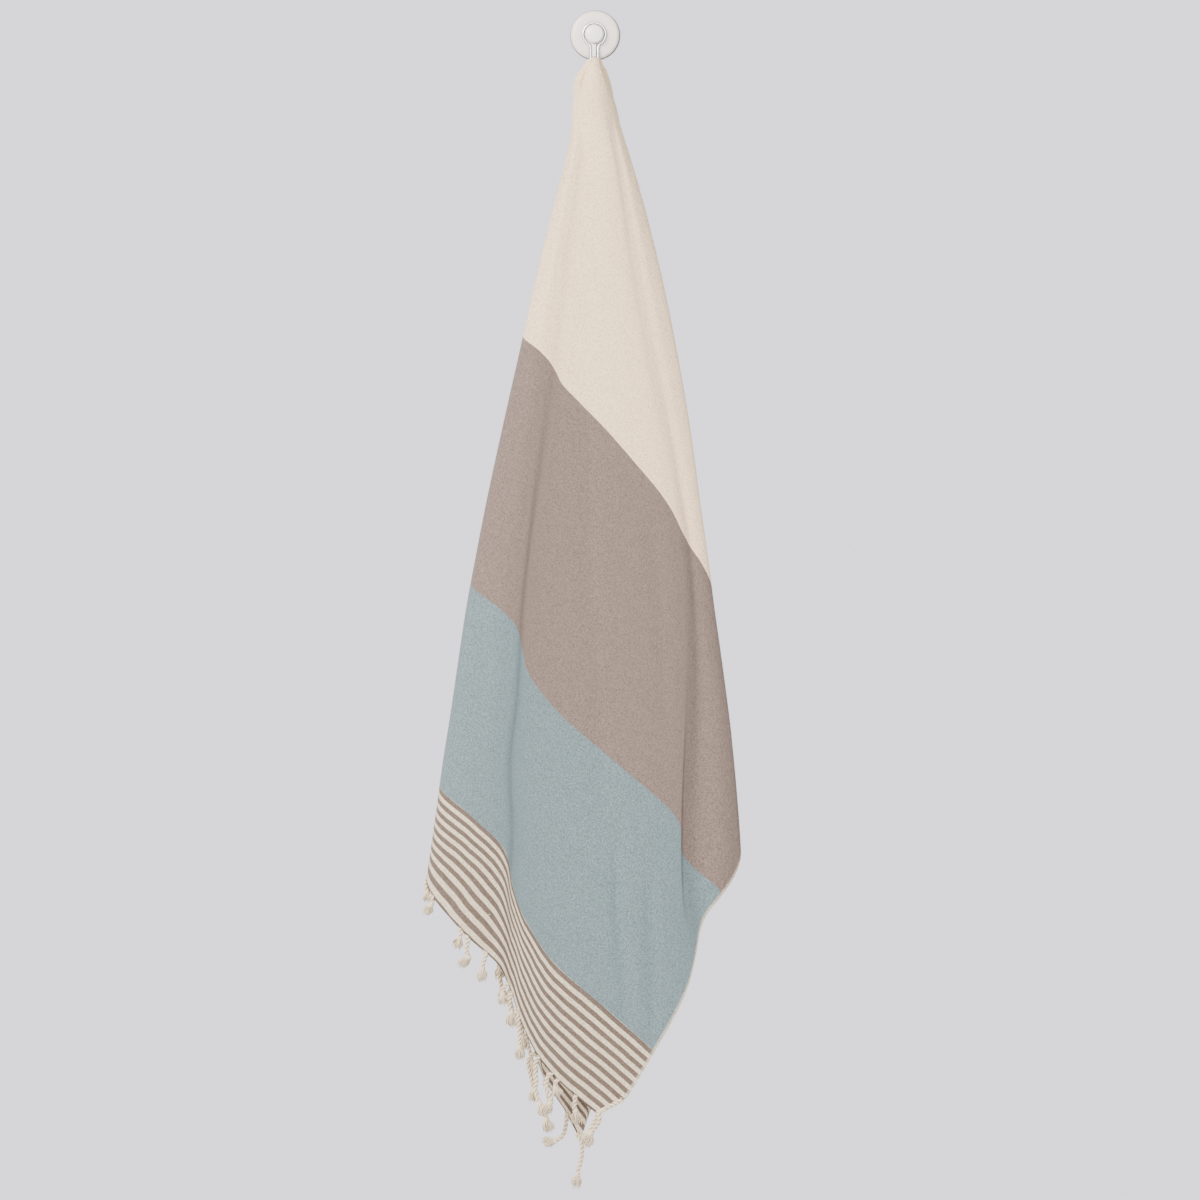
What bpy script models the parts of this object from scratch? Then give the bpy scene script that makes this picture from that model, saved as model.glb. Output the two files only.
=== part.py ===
"""A fringed hammam towel hanging in folds from a suction hook.

Metres, +Z up. The wall is the plane y = 0, the towel hangs in front of it at negative y, and the
origin is the centre of the hook's back face. The folds' tables are in millimetres and degrees.
"""

import functools
import math

import bmesh
import bpy
import numpy as np
from mathutils import Vector

# The towel as it was woven, flat, and where the hook's tip pushes into it: across from the front
# selvedge and up from the front hem.
TOWEL_WIDTH = 1.00
TOWEL_LENGTH = 1.70
CLOTH_THICK = 0.0011
HUNG_ACROSS = 0.606
HUNG_UP = 0.84
# The weave gives towards the corners: each quarter turn of cloth closes up by this angle.
SHEAR = math.radians(17.4)
# The part beyond the hook lies doubled against the inside of the rest, this far behind it.
FLAP_GAP = 0.0020
FLAP_WIDTH = TOWEL_WIDTH - HUNG_ACROSS
TIP = (-0.0011, -0.0340, -0.0253)
# The front corner is turned under, so the solid stops this far short of it.
CORNER_CUT = 0.020

# Fringe: twisted tassels on a narrow strip beyond each hem.
HEM_PARTING = 0.0008
STRIP_WIDTH = 0.0034
TASSELS = 26
FIRST_TASSEL = 0.50
# Tassels are longer towards the corners: lengths at these depths below the hook.
TASSEL_DEPTHS = (0.93, 1.16)
TASSEL_LENGTHS = (0.036, 0.060)
TASSEL_RADIUS = 0.0023
# Thickness along a tassel: the twisted stem, its knot and the tuft below.
TASSEL_SHARES = (0, 0.08, 0.25, 0.45, 0.7, 0.78, 0.85, 0.93, 1)
TASSEL_SHAPE = (1.0, 1.0, 0.95, 1.0, 0.9, 1.55, 1.1, 1.8, 1.3)
TASSEL_ROOT = 0.35
TASSEL_SWAY = 0.13
SWAY_WAVES = (48, 30)
# Tassels at the back lean to the wall, and the rear flap's a little more. Its last three would
# press into those beside them, and are left out.
WALL_LEAN = 0.15
FLAP_LEAN = 0.20
REAR_TASSELS = 23
TASSEL_SIDES = 4
TASSEL_TWIST = math.radians(40)
TASSEL_BEND = 0.020

# Hook: a disc against the wall, a knob, a bent wire and a lever between its stems.
GAP = 0.0003
HOOK_X = -0.0009
DISC_RADIUS = 0.0270
DISC_THICK = 0.0065
# Radius less the disc's, and reach from the wall, from the back edge to the front face.
DISC_PROFILE = (
    (-0.0006, 0),
    (0, 0.0008),
    (0, 0.0030),
    (-0.0008, 0.0048),
    (-0.0030, 0.0060),
    (-0.0060, DISC_THICK),
)
DISC_SIDES = 40
KNOB_RADIUS = 0.0102
KNOB_HEIGHT = 0.0110
KNOB_RISE = 0.0011
KNOB_SHOULDER = 0.55
KNOB_BEVEL = 0.0004
KNOB_SIDES = 32
DOME_ANGLES = (22, 45, 66, 82)
WIRE_RADIUS = 0.00115
WIRE_SIDES = 8
LOOP_RADIUS = 0.0124
LOOP_RISE = 0.0008
STEM_APART = 0.0080
STEM_DEPTH = -0.0088
STEM_LEVELS = (-0.0140, -0.0200, -0.0300)
BEND_LOW = -0.0370
LOOP_FOOT = 0.0054
LEVER = (0.0046, 0.0034, 0.0146)
LEVER_TOP = -0.0096
LEVER_BEVEL = 0.0008


def turnAt(bearing):
    """Degrees that the hung cloth turns for a bearing of the flat cloth from its short way."""
    up = math.sin(bearing) * math.cos(SHEAR)
    return math.degrees(math.atan2(up, math.cos(bearing) + math.sin(bearing) * math.sin(SHEAR)))


HUNG_DOWN = TOWEL_LENGTH - HUNG_UP
EDGE_TURN = turnAt(math.pi / 2)
FRONT_CORNER = turnAt(math.atan2(HUNG_UP, HUNG_ACROSS))
FRONT_FLAP = turnAt(math.atan2(HUNG_UP, FLAP_WIDTH))
REAR_CORNER = -turnAt(math.atan2(HUNG_DOWN, HUNG_ACROSS))
REAR_FLAP = -turnAt(math.atan2(HUNG_DOWN, FLAP_WIDTH))

# How far each side of the hung towel leans out, and how deep it is before and behind the hook's
# tip, at distances from the tip.
OUTLINE = np.array(
    (
        # distance, left lean, right lean, before, behind
        (7, -76, 76, 6.7, 6.7),
        (14, -62, 62, 12, 12),
        (30, -41, 41, 17, 18),
        (50, -25.5, 29, 22, 21),
        (80, -16.5, 22.3, 26, 24),
        (115, -14.9, 19.8, 29, 26),
        (200, -14.6, 17.9, 33, 27),
        (330, -13.8, 15.7, 38, 28),
        (500, -13.4, 13.6, 42, 28),
        (620, -12.9, 12.5, 44, 28),
        (750, -12.2, 11.6, 46, 28),
        (950, -11.3, 10.1, 50, 28),
        (1200, -10.9, 9.7, 52, 28),
    ),
    float,
)
# Every fold, once round from the doubled edge behind the left side to the one at the back. Round
# the tip it has a bearing and a turn, and at the three levels below it has a turn, a share of the
# way across from left to right, and a depth behind the frontmost fold.
LEVELS = (200, 560, 950)
CAP_ENDS = (30, 115)
FOLDS = (
    # name, bearing and turn round the tip, turns, across, depth
    ("edge behind left", (-115, EDGE_TURN), (EDGE_TURN,) * 3, (0.14, 0.36, 0.47), (56, 66, 74)),
    ("behind left", (-108, 69), (68.6, 67.2, 66), (0.05, 0.17, 0.20), (50, 65, 73)),
    ("left rear", (-100, 65), (64.5, 63.4, 62.4), (0.012, 0.02, 0.02), (37, 50, 56)),
    ("left", (-90, 60.1), (60.1, 60.1, 60.1), (0, 0, 0), (20, 27, 30)),
    ("left roll", (-75, 52), (57.3, 57.2, 57), (0.07, 0.09, 0.12), (7, 7, 6)),
    ("roll end", (-62, 45), (54.6, 54.8, 53.9), (0.18, 0.17, 0.235), (6, 9, 6)),
    ("valley", (-50, 38), (51.6, 51.2, FRONT_FLAP), (0.26, 0.235, 0.285), (9, 22, 32)),
    ("middle", (-35, 30), (46.9, 46.1, 46.2), (0.40, 0.40, 0.42), (5, 12, 16)),
    ("front corner", (-20, 22), (FRONT_CORNER,) * 3, (0.52, 0.52, 0.565), (1, 5, 6)),
    ("middle right", (0, 10), (37.4, 38.4, 41), (0.68, 0.70, 0.68), (0, 0, 2)),
    ("ridge", (25, -6), (32, 33.4, 38.5), (0.80, 0.852, 0.80), (3, 2, 8)),
    ("step", (45, -18), (30.4, 31.9, 36.7), (0.82, 0.862, 0.825), (10, 13, 22)),
    ("right roll", (65, -30), (26.4, 29.9, 34.8), (0.93, 0.945, 0.915), (10, 11, 20)),
    ("right", (90, -45), (22.6, 27.6, 32.8), (1, 1, 1), (18, 19, 28)),
    ("second right", (93, -47), (19.5, 24.6, 28.8), (0.93, 0.94, 0.94), (25, 27, 36)),
    ("second step", (96, -49), (15, 20, 24), (0.80, 0.82, 0.80), (22, 28, 37)),
    ("second middle", (99, -51), (9, 12, 14), (0.55, 0.56, 0.56), (18, 22, 30)),
    ("second valley", (102, -53.5), (3.5, 5, 5), (0.27, 0.25, 0.26), (22, 34, 39)),
    ("second left", (104.5, -55), (1.2, 1.2, 1.2), (0.085, 0.075, 0.07), (24, 34, 39)),
    ("third left", (106, -56.3), (-1.2, -1.2, -1.2), (0.085, 0.075, 0.07), (28, 39, 43)),
    ("third valley", (108, -57.5), (-4, -5, -5), (0.27, 0.24, 0.25), (28, 42, 45)),
    ("third middle", (111, -60), (-13, -13, -13), (0.55, 0.56, 0.56), (24, 29, 36)),
    ("third step", (114, -62), (-22, -23, -23), (0.80, 0.82, 0.80), (29, 36, 42)),
    ("third right", (116.5, -63.8), (-27.4, -28.2, -28.2), (0.945, 0.945, 0.94), (32.5, 39.5, 43)),
    ("fourth right", (118, -65), (-29.4, -30.2, -30.2), (0.945, 0.945, 0.94), (39.5, 47, 49)),
    ("fourth step", (119.5, -66), (-34, -35, -35), (0.80, 0.82, 0.79), (41, 48.5, 50)),
    ("rear corner", (121, -67), (REAR_CORNER,) * 3, (0.52, 0.53, 0.49), (34, 42, 44)),
    ("fourth valley", (123, -69), (REAR_FLAP,) * 3, (0.29, 0.28, 0.335), (38, 50, 48)),
    ("fourth left", (124.6, -70.2), (-56.8, -56.8, -56.4), (0.10, 0.10, 0.25), (40, 52, 51)),
    ("fifth left", (125.6, -70.9), (-59.2, -59.2, -58.8), (0.10, 0.10, 0.25), (45, 57, 60)),
    ("fifth valley", (126.6, -71.6), (-64, -64, -64), (0.29, 0.27, 0.36), (46.5, 59, 63)),
    ("edge at back", (128, -EDGE_TURN), (-EDGE_TURN,) * 3, (0.52, 0.50, 0.52), (45, 57, 61)),
)
FOLD_NAMES = [fold[0] for fold in FOLDS]
CAP_BEARING, CAP_TURN = np.array([fold[1] for fold in FOLDS], float).T
FOLD_TURN, FOLD_ACROSS, FOLD_DEPTH = (np.array([fold[i] for fold in FOLDS], float) for i in (2, 3, 4))

COLUMNS_A_FOLD = 2
NEAR_ROWS = (0, 7, 15, 30, 52, 80, 115)
FAR_ROWS = 9


def clearScene():
    for obj in list(bpy.data.objects):
        bpy.data.objects.remove(obj, do_unlink=True)


def plainMaterial(name, colour, roughness, metallic=0.0):
    material = bpy.data.materials.new(name)
    material.use_nodes = True
    shader = material.node_tree.nodes["Principled BSDF"]
    shader.inputs["Base Color"].default_value = (*colour, 1)
    shader.inputs["Roughness"].default_value = roughness
    shader.inputs["Metallic"].default_value = metallic
    return material


def newNode(name, points, faces, material):
    mesh = bpy.data.meshes.new(name)
    mesh.from_pydata([tuple(p) for p in points], [], faces)
    turned_out = bmesh.new()
    turned_out.from_mesh(mesh)
    bmesh.ops.recalc_face_normals(turned_out, faces=turned_out.faces)
    turned_out.to_mesh(mesh)
    turned_out.free()
    mesh.materials.append(material)
    obj = bpy.data.objects.new(name, mesh)
    bpy.context.scene.collection.objects.link(obj)
    return obj


def thicken(obj, thickness):
    modifier = obj.modifiers.new("thickness", "SOLIDIFY")
    modifier.thickness = thickness
    modifier.offset = 0


def eased(share):
    return share * share * (3 - 2 * share)


# How the cloth lies. A column of the sheet runs down from the tip between two folds, and is
# counted in folds; its distance from the tip is in mm.


def bearingAt(turn):
    """The flat cloth's bearing where the hung cloth has turned by so many degrees."""
    side = math.radians(abs(turn))
    level = math.cos(SHEAR) * math.cos(side) - math.sin(SHEAR) * math.sin(side)
    return math.copysign(math.atan2(math.sin(side), level), turn)


def stretchAt(bearing):
    return math.sqrt(1 + math.sin(SHEAR) * math.sin(2 * abs(bearing)))


@functools.lru_cache(maxsize=None)
def sectionAt(distance):
    """Every fold's turn, and its x and y from the tip in mm, once round at this distance."""
    held = max(distance, OUTLINE[0, 0])
    left, right, before, behind = (np.interp(held, OUTLINE[:, 0], OUTLINE[:, i]) for i in range(1, 5))
    before, behind = (depth * distance / held for depth in (before, behind))
    leftX, rightX = (distance * math.sin(math.radians(lean)) for lean in (left, right))
    around = np.radians(CAP_BEARING)
    capX = np.sin(around) * np.where(around > 0, rightX, -leftX)
    capY = -np.cos(around) * np.where(np.abs(CAP_BEARING) < 90, before, behind)
    level = np.interp(distance, LEVELS, (0, 1, 2))
    index = min(int(level), 1)
    share = eased(level - index)
    turn, across, depth = (
        table[:, index] * (1 - share) + table[:, index + 1] * share
        for table in (FOLD_TURN, FOLD_ACROSS, FOLD_DEPTH)
    )
    foldX = leftX + across * (rightX - leftX)
    foldY = -before + depth * min((before + behind) / depth[0], 1)
    opened = eased(np.interp(distance, CAP_ENDS, (0, 1)))
    turns = CAP_TURN + opened * (turn - CAP_TURN)
    xs, ys = capX + opened * (foldX - capX), capY + opened * (foldY - capY)
    return turns, xs, ys, np.gradient(xs, turns), np.gradient(ys, turns)


def turnOf(column, distance):
    turns = sectionAt(distance)[0]
    index = min(int(column), len(FOLDS) - 2)
    return turns[index] + (column - index) * (turns[index + 1] - turns[index])


@functools.lru_cache(maxsize=None)
def placeOf(column, distance):
    """The middle of the outer layer, in metres."""
    turns, xs, ys, slopesX, slopesY = sectionAt(distance)
    i = min(int(column), len(FOLDS) - 2)
    t, span = column - i, turns[i + 1] - turns[i]

    def between(values, slopes):
        rise = values[i + 1] - values[i]
        start, end = slopes[i] * span - rise, rise - slopes[i + 1] * span
        return values[i] + t * rise + t * (1 - t) * (start * (1 - t) + end * t)

    x, y = between(xs, slopesX), between(ys, slopesY)
    fall = math.sqrt(max(distance**2 - x * x - y * y, 0))
    return Vector((TIP[0] + x / 1000, TIP[1] + y / 1000, TIP[2] - fall / 1000))


def acrossOf(column, distance):
    """Along the section, from the first fold towards the last."""
    wide = 0.12
    after = placeOf(min(column + wide, len(FOLDS) - 1), distance)
    return (after - placeOf(max(column - wide, 0), distance)).normalized()


def facingOf(column, distance):
    """The way that the outer layer faces, away from the flap."""
    tall = max(1.0, distance * 0.01)
    down = placeOf(column, distance + tall) - placeOf(column, distance - tall if distance > tall else 0)
    return down.cross(acrossOf(column, distance)).normalized()


def layerPoint(column, distance, layer):
    """A point of the outer layer (0), the flap (1) or the doubled edge between them (0.5)."""
    if distance == 0:
        centre, facing, outward = Vector(TIP), Vector((0, 0, 1)), Vector((0, 1, 0))
    else:
        centre, facing = placeOf(column, distance), facingOf(column, distance)
        outward = acrossOf(column, distance) * (-1 if column < 1 else 1)
    sideways = outward * FLAP_GAP / 2 if layer == 0.5 else Vector()
    return centre - facing * FLAP_GAP * layer + sideways


@functools.lru_cache(maxsize=None)
def edgeOf(column, width, beyond=None):
    """Distance to the cloth's edge, or to a line a little beyond its hem."""
    edge = 900.0
    for _ in range(14):
        bearing = bearingAt(turnOf(column, edge))
        up = HUNG_UP if bearing > 0 else HUNG_DOWN
        upright, sideways = max(abs(math.sin(bearing)), 1e-6), math.cos(bearing)
        flat = (up + (beyond or 0)) / upright
        if beyond is None:
            flat = min(flat, width / max(sideways, 1e-6))
        edge = 1000 * flat * stretchAt(bearing)
    return edge


def rowDistance(row, column, width):
    if row < len(NEAR_ROWS):
        return float(NEAR_ROWS[row])
    edge = edgeOf(column, width)
    if width == HUNG_ACROSS and column == FOLD_NAMES.index("front corner"):
        edge -= 1000 * CORNER_CUT
    share = (row - len(NEAR_ROWS) + 1) / FAR_ROWS
    return NEAR_ROWS[-1] + share * (edge - NEAR_ROWS[-1])


def makeCloth(material):
    """The whole towel as one sheet: rings of points about the tip, out to its four edges."""
    columns = [i / COLUMNS_A_FOLD for i in range((len(FOLDS) - 1) * COLUMNS_A_FOLD + 1)]
    around = [(c, 0) for c in columns] + [(columns[-1], 0.5)]
    around += [(c, 1) for c in reversed(columns)] + [(columns[0], 0.5)]
    points = [layerPoint(0, 0, layer) for layer in (0, 0.5, 1)]
    rings = [[int(2 * layer) for _, layer in around]]
    for row in range(1, len(NEAR_ROWS) + FAR_ROWS):
        rings.append(list(range(len(points), len(points) + len(around))))
        for column, layer in around:
            width = FLAP_WIDTH if layer == 1 else HUNG_ACROSS
            points.append(layerPoint(column, rowDistance(row, column, width), layer))
    faces = []
    for upper, lower in zip(rings, rings[1:], strict=False):
        for i in range(len(around)):
            j = (i + 1) % len(around)
            corners = (upper[i], lower[i], lower[j], upper[j])
            faces.append([c for n, c in enumerate(corners) if c not in corners[:n]])
    thicken(newNode("towel_cloth", points, faces, material), CLOTH_THICK)


# The fringe. A hem runs from its corner, round the doubled edge and along the flap.


def hemRoute(corner, flap, edge):
    """(column, layer) stations of one hem, from the cloth's corner to the flap's."""
    step = 1 if edge > corner else -1
    steps = round(abs(edge - corner) * COLUMNS_A_FOLD)
    outer = [corner + step * i / COLUMNS_A_FOLD for i in range(steps + 1)]
    inner = [c for c in reversed(outer) if (c - flap) * step >= 0]
    return [(c, 0) for c in outer] + [(edge, 0.5)] + [(c, 1) for c in inner]


def hemPoint(column, layer, beyond=0.0):
    return layerPoint(column, edgeOf(column, HUNG_ACROSS, beyond), layer)


def hemFrame(column, layer):
    """A point on the hem, and the way out of the cloth there, square to the hem."""
    step, last = 1 / COLUMNS_A_FOLD, len(FOLDS) - 1
    along = hemPoint(min(column + step, last), layer) - hemPoint(max(column - step, 0), layer)
    out = hemPoint(column, layer, 0.004) - hemPoint(column, layer)
    out -= along * out.dot(along) / along.length_squared
    return hemPoint(column, layer), out.normalized()


def acrossHem(column, layer):
    """How far along the hem from the front selvedge, in metres, by the flat towel."""
    bearing = bearingAt(turnOf(column, edgeOf(column, HUNG_ACROSS, 0.0)))
    up = HUNG_UP if bearing > 0 else HUNG_DOWN
    return HUNG_ACROSS + (1 if layer == 1 else -1) * up / math.tan(abs(bearing))


def sweep(route, radii, sides, twist=0.0, closed=False):
    """A tube of so many sides along a route, with flat ends unless it closes on itself."""
    count = len(route)
    points, faces = [], []
    side = None
    for i, centre in enumerate(route):
        if closed:
            along = (route[(i + 1) % count] - route[i - 1]).normalized()
        else:
            along = (route[min(i + 1, count - 1)] - route[max(i - 1, 0)]).normalized()
        if side is None:
            side = along.orthogonal().normalized()
        side = (side - along * side.dot(along)).normalized()
        other = along.cross(side)
        for k in range(sides):
            angle = 2 * math.pi * k / sides + twist * i
            points.append(centre + (side * math.cos(angle) + other * math.sin(angle)) * radii[i])
    for i in range(count if closed else count - 1):
        for k in range(sides):
            m, j = (k + 1) % sides, (i + 1) % count
            faces.append([i * sides + k, i * sides + m, j * sides + m, j * sides + k])
    if not closed:
        faces.append(list(reversed(range(sides))))
        faces.append([(count - 1) * sides + k for k in range(sides)])
    return points, faces


def tasselRoute(root, out, toWall):
    """Out from the strip and then down, swaying alike where they hang close together."""
    sideways = TASSEL_SWAY * math.sin(SWAY_WAVES[0] * root.x + SWAY_WAVES[1] * root.z)
    sway = Vector((sideways, toWall, 0))
    length = float(np.interp(-root.z, TASSEL_DEPTHS, TASSEL_LENGTHS))
    route = [root]
    for before, after in zip(TASSEL_SHARES, TASSEL_SHARES[1:], strict=False):
        bent = eased(min((before + after) / 2 * length / TASSEL_BEND, 1))
        heading = out * (1 - bent) + Vector((0, 0, -1)) * bent + sway * math.sin(3 * after)
        route.append(route[-1] + heading.normalized() * (after - before) * length)
    return route


def makeFringe(name, corner, flap, edge, tassels, flapLean, material):
    route = hemRoute(corner, flap, edge)
    frames = [hemFrame(column, layer) for column, layer in route]
    points = [p + out * reach for p, out in frames for reach in (HEM_PARTING, HEM_PARTING + STRIP_WIDTH)]
    faces = [[2 * i, 2 * i + 1, 2 * i + 3, 2 * i + 2] for i in range(len(route) - 1)]
    strip = newNode(name, points, faces, material)
    thicken(strip, CLOTH_THICK)
    strip.modifiers.new("triangles", "TRIANGULATE")
    stations = [acrossHem(column, layer) for column, layer in route]
    radii = [TASSEL_RADIUS * share for share in TASSEL_SHAPE]
    tufts, tuftFaces = [], []
    for number in range(tassels):
        place = (number + FIRST_TASSEL) / TASSELS * TOWEL_WIDTH
        if place < stations[0]:
            continue
        i = int(np.searchsorted(stations, place)) - 1
        column, layer = route[i]
        share = (place - stations[i]) / (stations[i + 1] - stations[i])
        edge, out = (a.lerp(b, share) for a, b in zip(frames[i], frames[i + 1], strict=True))
        root = edge + out * (HEM_PARTING + STRIP_WIDTH * TASSEL_ROOT)
        toWall = WALL_LEAN if column > FOLD_NAMES.index("fifth left") else 0
        if layer == 1:
            toWall += flapLean
        more, moreFaces = sweep(tasselRoute(root, out, toWall), radii, TASSEL_SIDES, TASSEL_TWIST)
        tuftFaces += [[len(tufts) + p for p in face] for face in moreFaces]
        tufts += more
    cords = newNode(name + "_tassels", tufts, tuftFaces, material)
    cords.modifiers.new("triangles", "TRIANGULATE")
    cords.hide_render = True
    cords.display_type = "WIRE"
    joined = strip.modifiers.new("tassels", "BOOLEAN")
    joined.operation = "UNION"
    joined.solver = "EXACT"
    joined.object = cords


# The hook.


def turned(name, profile, centre, steps, material):
    """A solid turned about the line through its centre that points away from the wall."""
    points, faces = [], []
    for radius, reach in profile:
        for k in range(steps):
            angle = 2 * math.pi * k / steps
            x, z = radius * math.cos(angle), radius * math.sin(angle)
            points.append(Vector((centre[0] + x, centre[1] - reach, centre[2] + z)))
    for i in range(len(profile) - 1):
        for k in range(steps):
            m = (k + 1) % steps
            faces.append([i * steps + k, i * steps + m, (i + 1) * steps + m, (i + 1) * steps + k])
    faces.append(list(reversed(range(steps))))
    faces.append([(len(profile) - 1) * steps + k for k in range(steps)])
    return newNode(name, points, faces, material)


def arc(centre, radius, start, end, steps, plane):
    """Points on a part of a circle, in the plane of two directions."""
    first, second = (Vector(v) for v in plane)
    angles = (math.radians(start + (end - start) * i / steps) for i in range(steps + 1))
    return [Vector(centre) + (first * math.cos(a) + second * math.sin(a)) * radius for a in angles]


def makeDisc(plastic):
    profile = [(DISC_RADIUS + less, reach) for less, reach in DISC_PROFILE]
    turned("hook_disc", profile, (0, 0, 0), DISC_SIDES, plastic)


def makeKnob(plastic):
    shoulder = KNOB_HEIGHT * KNOB_SHOULDER
    profile = [(KNOB_RADIUS - KNOB_BEVEL, 0), (KNOB_RADIUS, KNOB_BEVEL), (KNOB_RADIUS, shoulder)]
    for angle in map(math.radians, DOME_ANGLES):
        rise = (KNOB_HEIGHT - shoulder) * math.sin(angle)
        profile.append((KNOB_RADIUS * math.cos(angle), shoulder + rise))
    turned("hook_knob", profile, (HOOK_X, -DISC_THICK - GAP, KNOB_RISE), KNOB_SIDES, plastic)


def makeWire(chrome):
    """One closed wire: a loop round the knob, two stems, and a bend out to the tip."""
    across, up, away = (1, 0, 0), (0, 0, 1), (0, -1, 0)
    half = STEM_APART / 2
    bend = (STEM_DEPTH - TIP[1]) / 2
    top = TIP[2] - CLOTH_THICK - FLAP_GAP - GAP - WIRE_RADIUS
    rightStem = [Vector((HOOK_X + half, STEM_DEPTH, z)) for z in STEM_LEVELS]
    low = (HOOK_X + half, TIP[1] + bend, BEND_LOW)
    rightStem += arc(low, bend, 180, 0, 12, (away, (0, 0, -1)))
    leftStem = [Vector((2 * HOOK_X - p.x, p.y, p.z)) for p in reversed(rightStem)]
    tip = arc((HOOK_X, TIP[1], top - half), half, 0, 180, 8, (across, up))
    foot = math.degrees(math.asin(LOOP_FOOT / LOOP_RADIUS))
    loop = arc((HOOK_X, STEM_DEPTH, LOOP_RISE), LOOP_RADIUS, 270 - foot, foot - 90, 28, (across, up))
    wire = loop + rightStem + tip + leftStem
    points, faces = sweep(wire, [WIRE_RADIUS] * len(wire), WIRE_SIDES, closed=True)
    newNode("hook_wire", points, faces, chrome)


def makeLever(plastic):
    wide, thick, tall = LEVER
    back = -DISC_THICK - GAP
    corners = []
    for y, inset in ((back, 0), (back - thick + LEVER_BEVEL, 0), (back - thick, LEVER_BEVEL)):
        for x, z in ((-1, 0), (1, 0), (1, -1), (-1, -1)):
            reach = x * (wide / 2 - inset)
            corners.append(Vector((HOOK_X + reach, y, LEVER_TOP + z * tall + (inset if z else -inset))))
    lever = [[k, (k + 1) % 4, 4 + (k + 1) % 4, 4 + k] for k in range(4)]
    lever += [[4 + k, 4 + (k + 1) % 4, 8 + (k + 1) % 4, 8 + k] for k in range(4)]
    newNode("hook_lever", corners, lever + [[3, 2, 1, 0], [8, 9, 10, 11]], plastic)


def main():
    clearScene()
    cotton = plainMaterial("towel_cotton", (0.60, 0.55, 0.50), 0.9)
    cord = plainMaterial("fringe_cotton", (0.75, 0.68, 0.58), 0.9)
    plastic = plainMaterial("hook_plastic", (0.85, 0.83, 0.80), 0.25)
    chrome = plainMaterial("hook_chrome", (0.80, 0.80, 0.80), 0.15, 1.0)
    makeCloth(cotton)
    place = FOLD_NAMES.index
    beforeCut = place("front corner") - 1 / COLUMNS_A_FOLD
    rearCorner, rearEdge = place("rear corner"), place("edge at back")
    makeFringe("fringe_front", beforeCut, place("valley"), 0, TASSELS, 0, cord)
    makeFringe("fringe_rear", rearCorner, place("fourth valley"), rearEdge, REAR_TASSELS, FLAP_LEAN, cord)
    makeDisc(plastic)
    makeKnob(plastic)
    makeWire(chrome)
    makeLever(plastic)


main()
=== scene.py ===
import math

import bpy
import numpy as np
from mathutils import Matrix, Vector


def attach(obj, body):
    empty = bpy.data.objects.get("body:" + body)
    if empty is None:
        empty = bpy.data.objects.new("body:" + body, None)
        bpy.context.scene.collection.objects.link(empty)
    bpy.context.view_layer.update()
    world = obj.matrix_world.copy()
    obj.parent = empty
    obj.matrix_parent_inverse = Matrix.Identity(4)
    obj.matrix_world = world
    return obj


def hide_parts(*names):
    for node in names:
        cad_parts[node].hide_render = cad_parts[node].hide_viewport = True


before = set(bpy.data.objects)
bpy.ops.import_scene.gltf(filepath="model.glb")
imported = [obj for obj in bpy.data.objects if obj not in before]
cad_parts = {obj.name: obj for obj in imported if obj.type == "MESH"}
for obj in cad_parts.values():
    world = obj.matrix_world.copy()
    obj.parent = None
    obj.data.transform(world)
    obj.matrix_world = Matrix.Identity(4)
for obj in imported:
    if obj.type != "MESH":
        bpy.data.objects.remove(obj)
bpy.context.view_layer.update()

# A fringed hammam towel hanging in folds from a small round wall hook. Metres, the wall is y = 0.

rand = np.random.default_rng(7)


def freeHands():  # nothing selected, object mode
    if bpy.context.object and bpy.context.object.mode != "OBJECT":
        bpy.ops.object.mode_set(mode="OBJECT")
    bpy.ops.object.select_all(action="DESELECT")


def takeUp(obj):  # the only one selected
    freeHands()
    obj.select_set(True)
    bpy.context.view_layer.objects.active = obj


def placeInMesh(obj):  # the object back to the origin, its place in its mesh
    takeUp(obj)
    bpy.ops.object.transform_apply(location=True, rotation=True, scale=True)


def editAll():  # edit mode, with the whole mesh selected
    bpy.ops.object.mode_set(mode="EDIT")
    bpy.ops.mesh.select_all(action="SELECT")


def endEdit():  # faces outwards, and object mode again
    bpy.ops.mesh.normals_make_consistent(inside=False)
    bpy.ops.object.mode_set(mode="OBJECT")


def addObject(name, data):
    obj = bpy.data.objects.new(name, data)
    bpy.context.scene.collection.objects.link(obj)
    return obj


def meshObject(name, points, faces, layer, places):  # smooth, with its own UV map
    mesh = bpy.data.meshes.new(name)
    mesh.from_pydata([tuple(p) for p in points], [], faces)
    uv = mesh.uv_layers.new(name=layer)
    loops = np.zeros(len(mesh.loops), int)
    mesh.loops.foreach_get("vertex_index", loops)
    uv.data.foreach_set("uv", places[loops].ravel())
    mesh.shade_smooth()
    return addObject(name, mesh)


def srgb(red, green, blue):  # a screen colour of 0 to 255, as the shader takes it
    parts = [c / 255 for c in (red, green, blue)]
    return tuple(c / 12.92 if c <= 0.04045 else ((c + 0.055) / 1.055) ** 2.4 for c in parts) + (1,)


# The towel as it is cut, and the point that it hangs from.
towel = {
    "width": 1.00,
    "length": 1.70,
    "thick": 0.0009,
    "hungAcross": 0.606,  # the hook's tip, from the front selvedge
    "hungUp": 0.84,  # and from the front hem
    "shear": math.radians(17.4),  # the weave gives towards the corners
    "flapGap": 0.0020,  # the doubled part lies this far behind
    "tip": (-0.0011, -0.0340, -0.0253),
}
bands = {  # distances from the nearer hem
    "stripes": 0.0905,
    "aqua": 0.2915,
    "taupe": 0.5485,
    "pair": 0.0098,  # one taupe and one cream stripe
    "darkShare": 0.56,
}
hungAcross, hungUp = towel["hungAcross"], towel["hungUp"]

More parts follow.
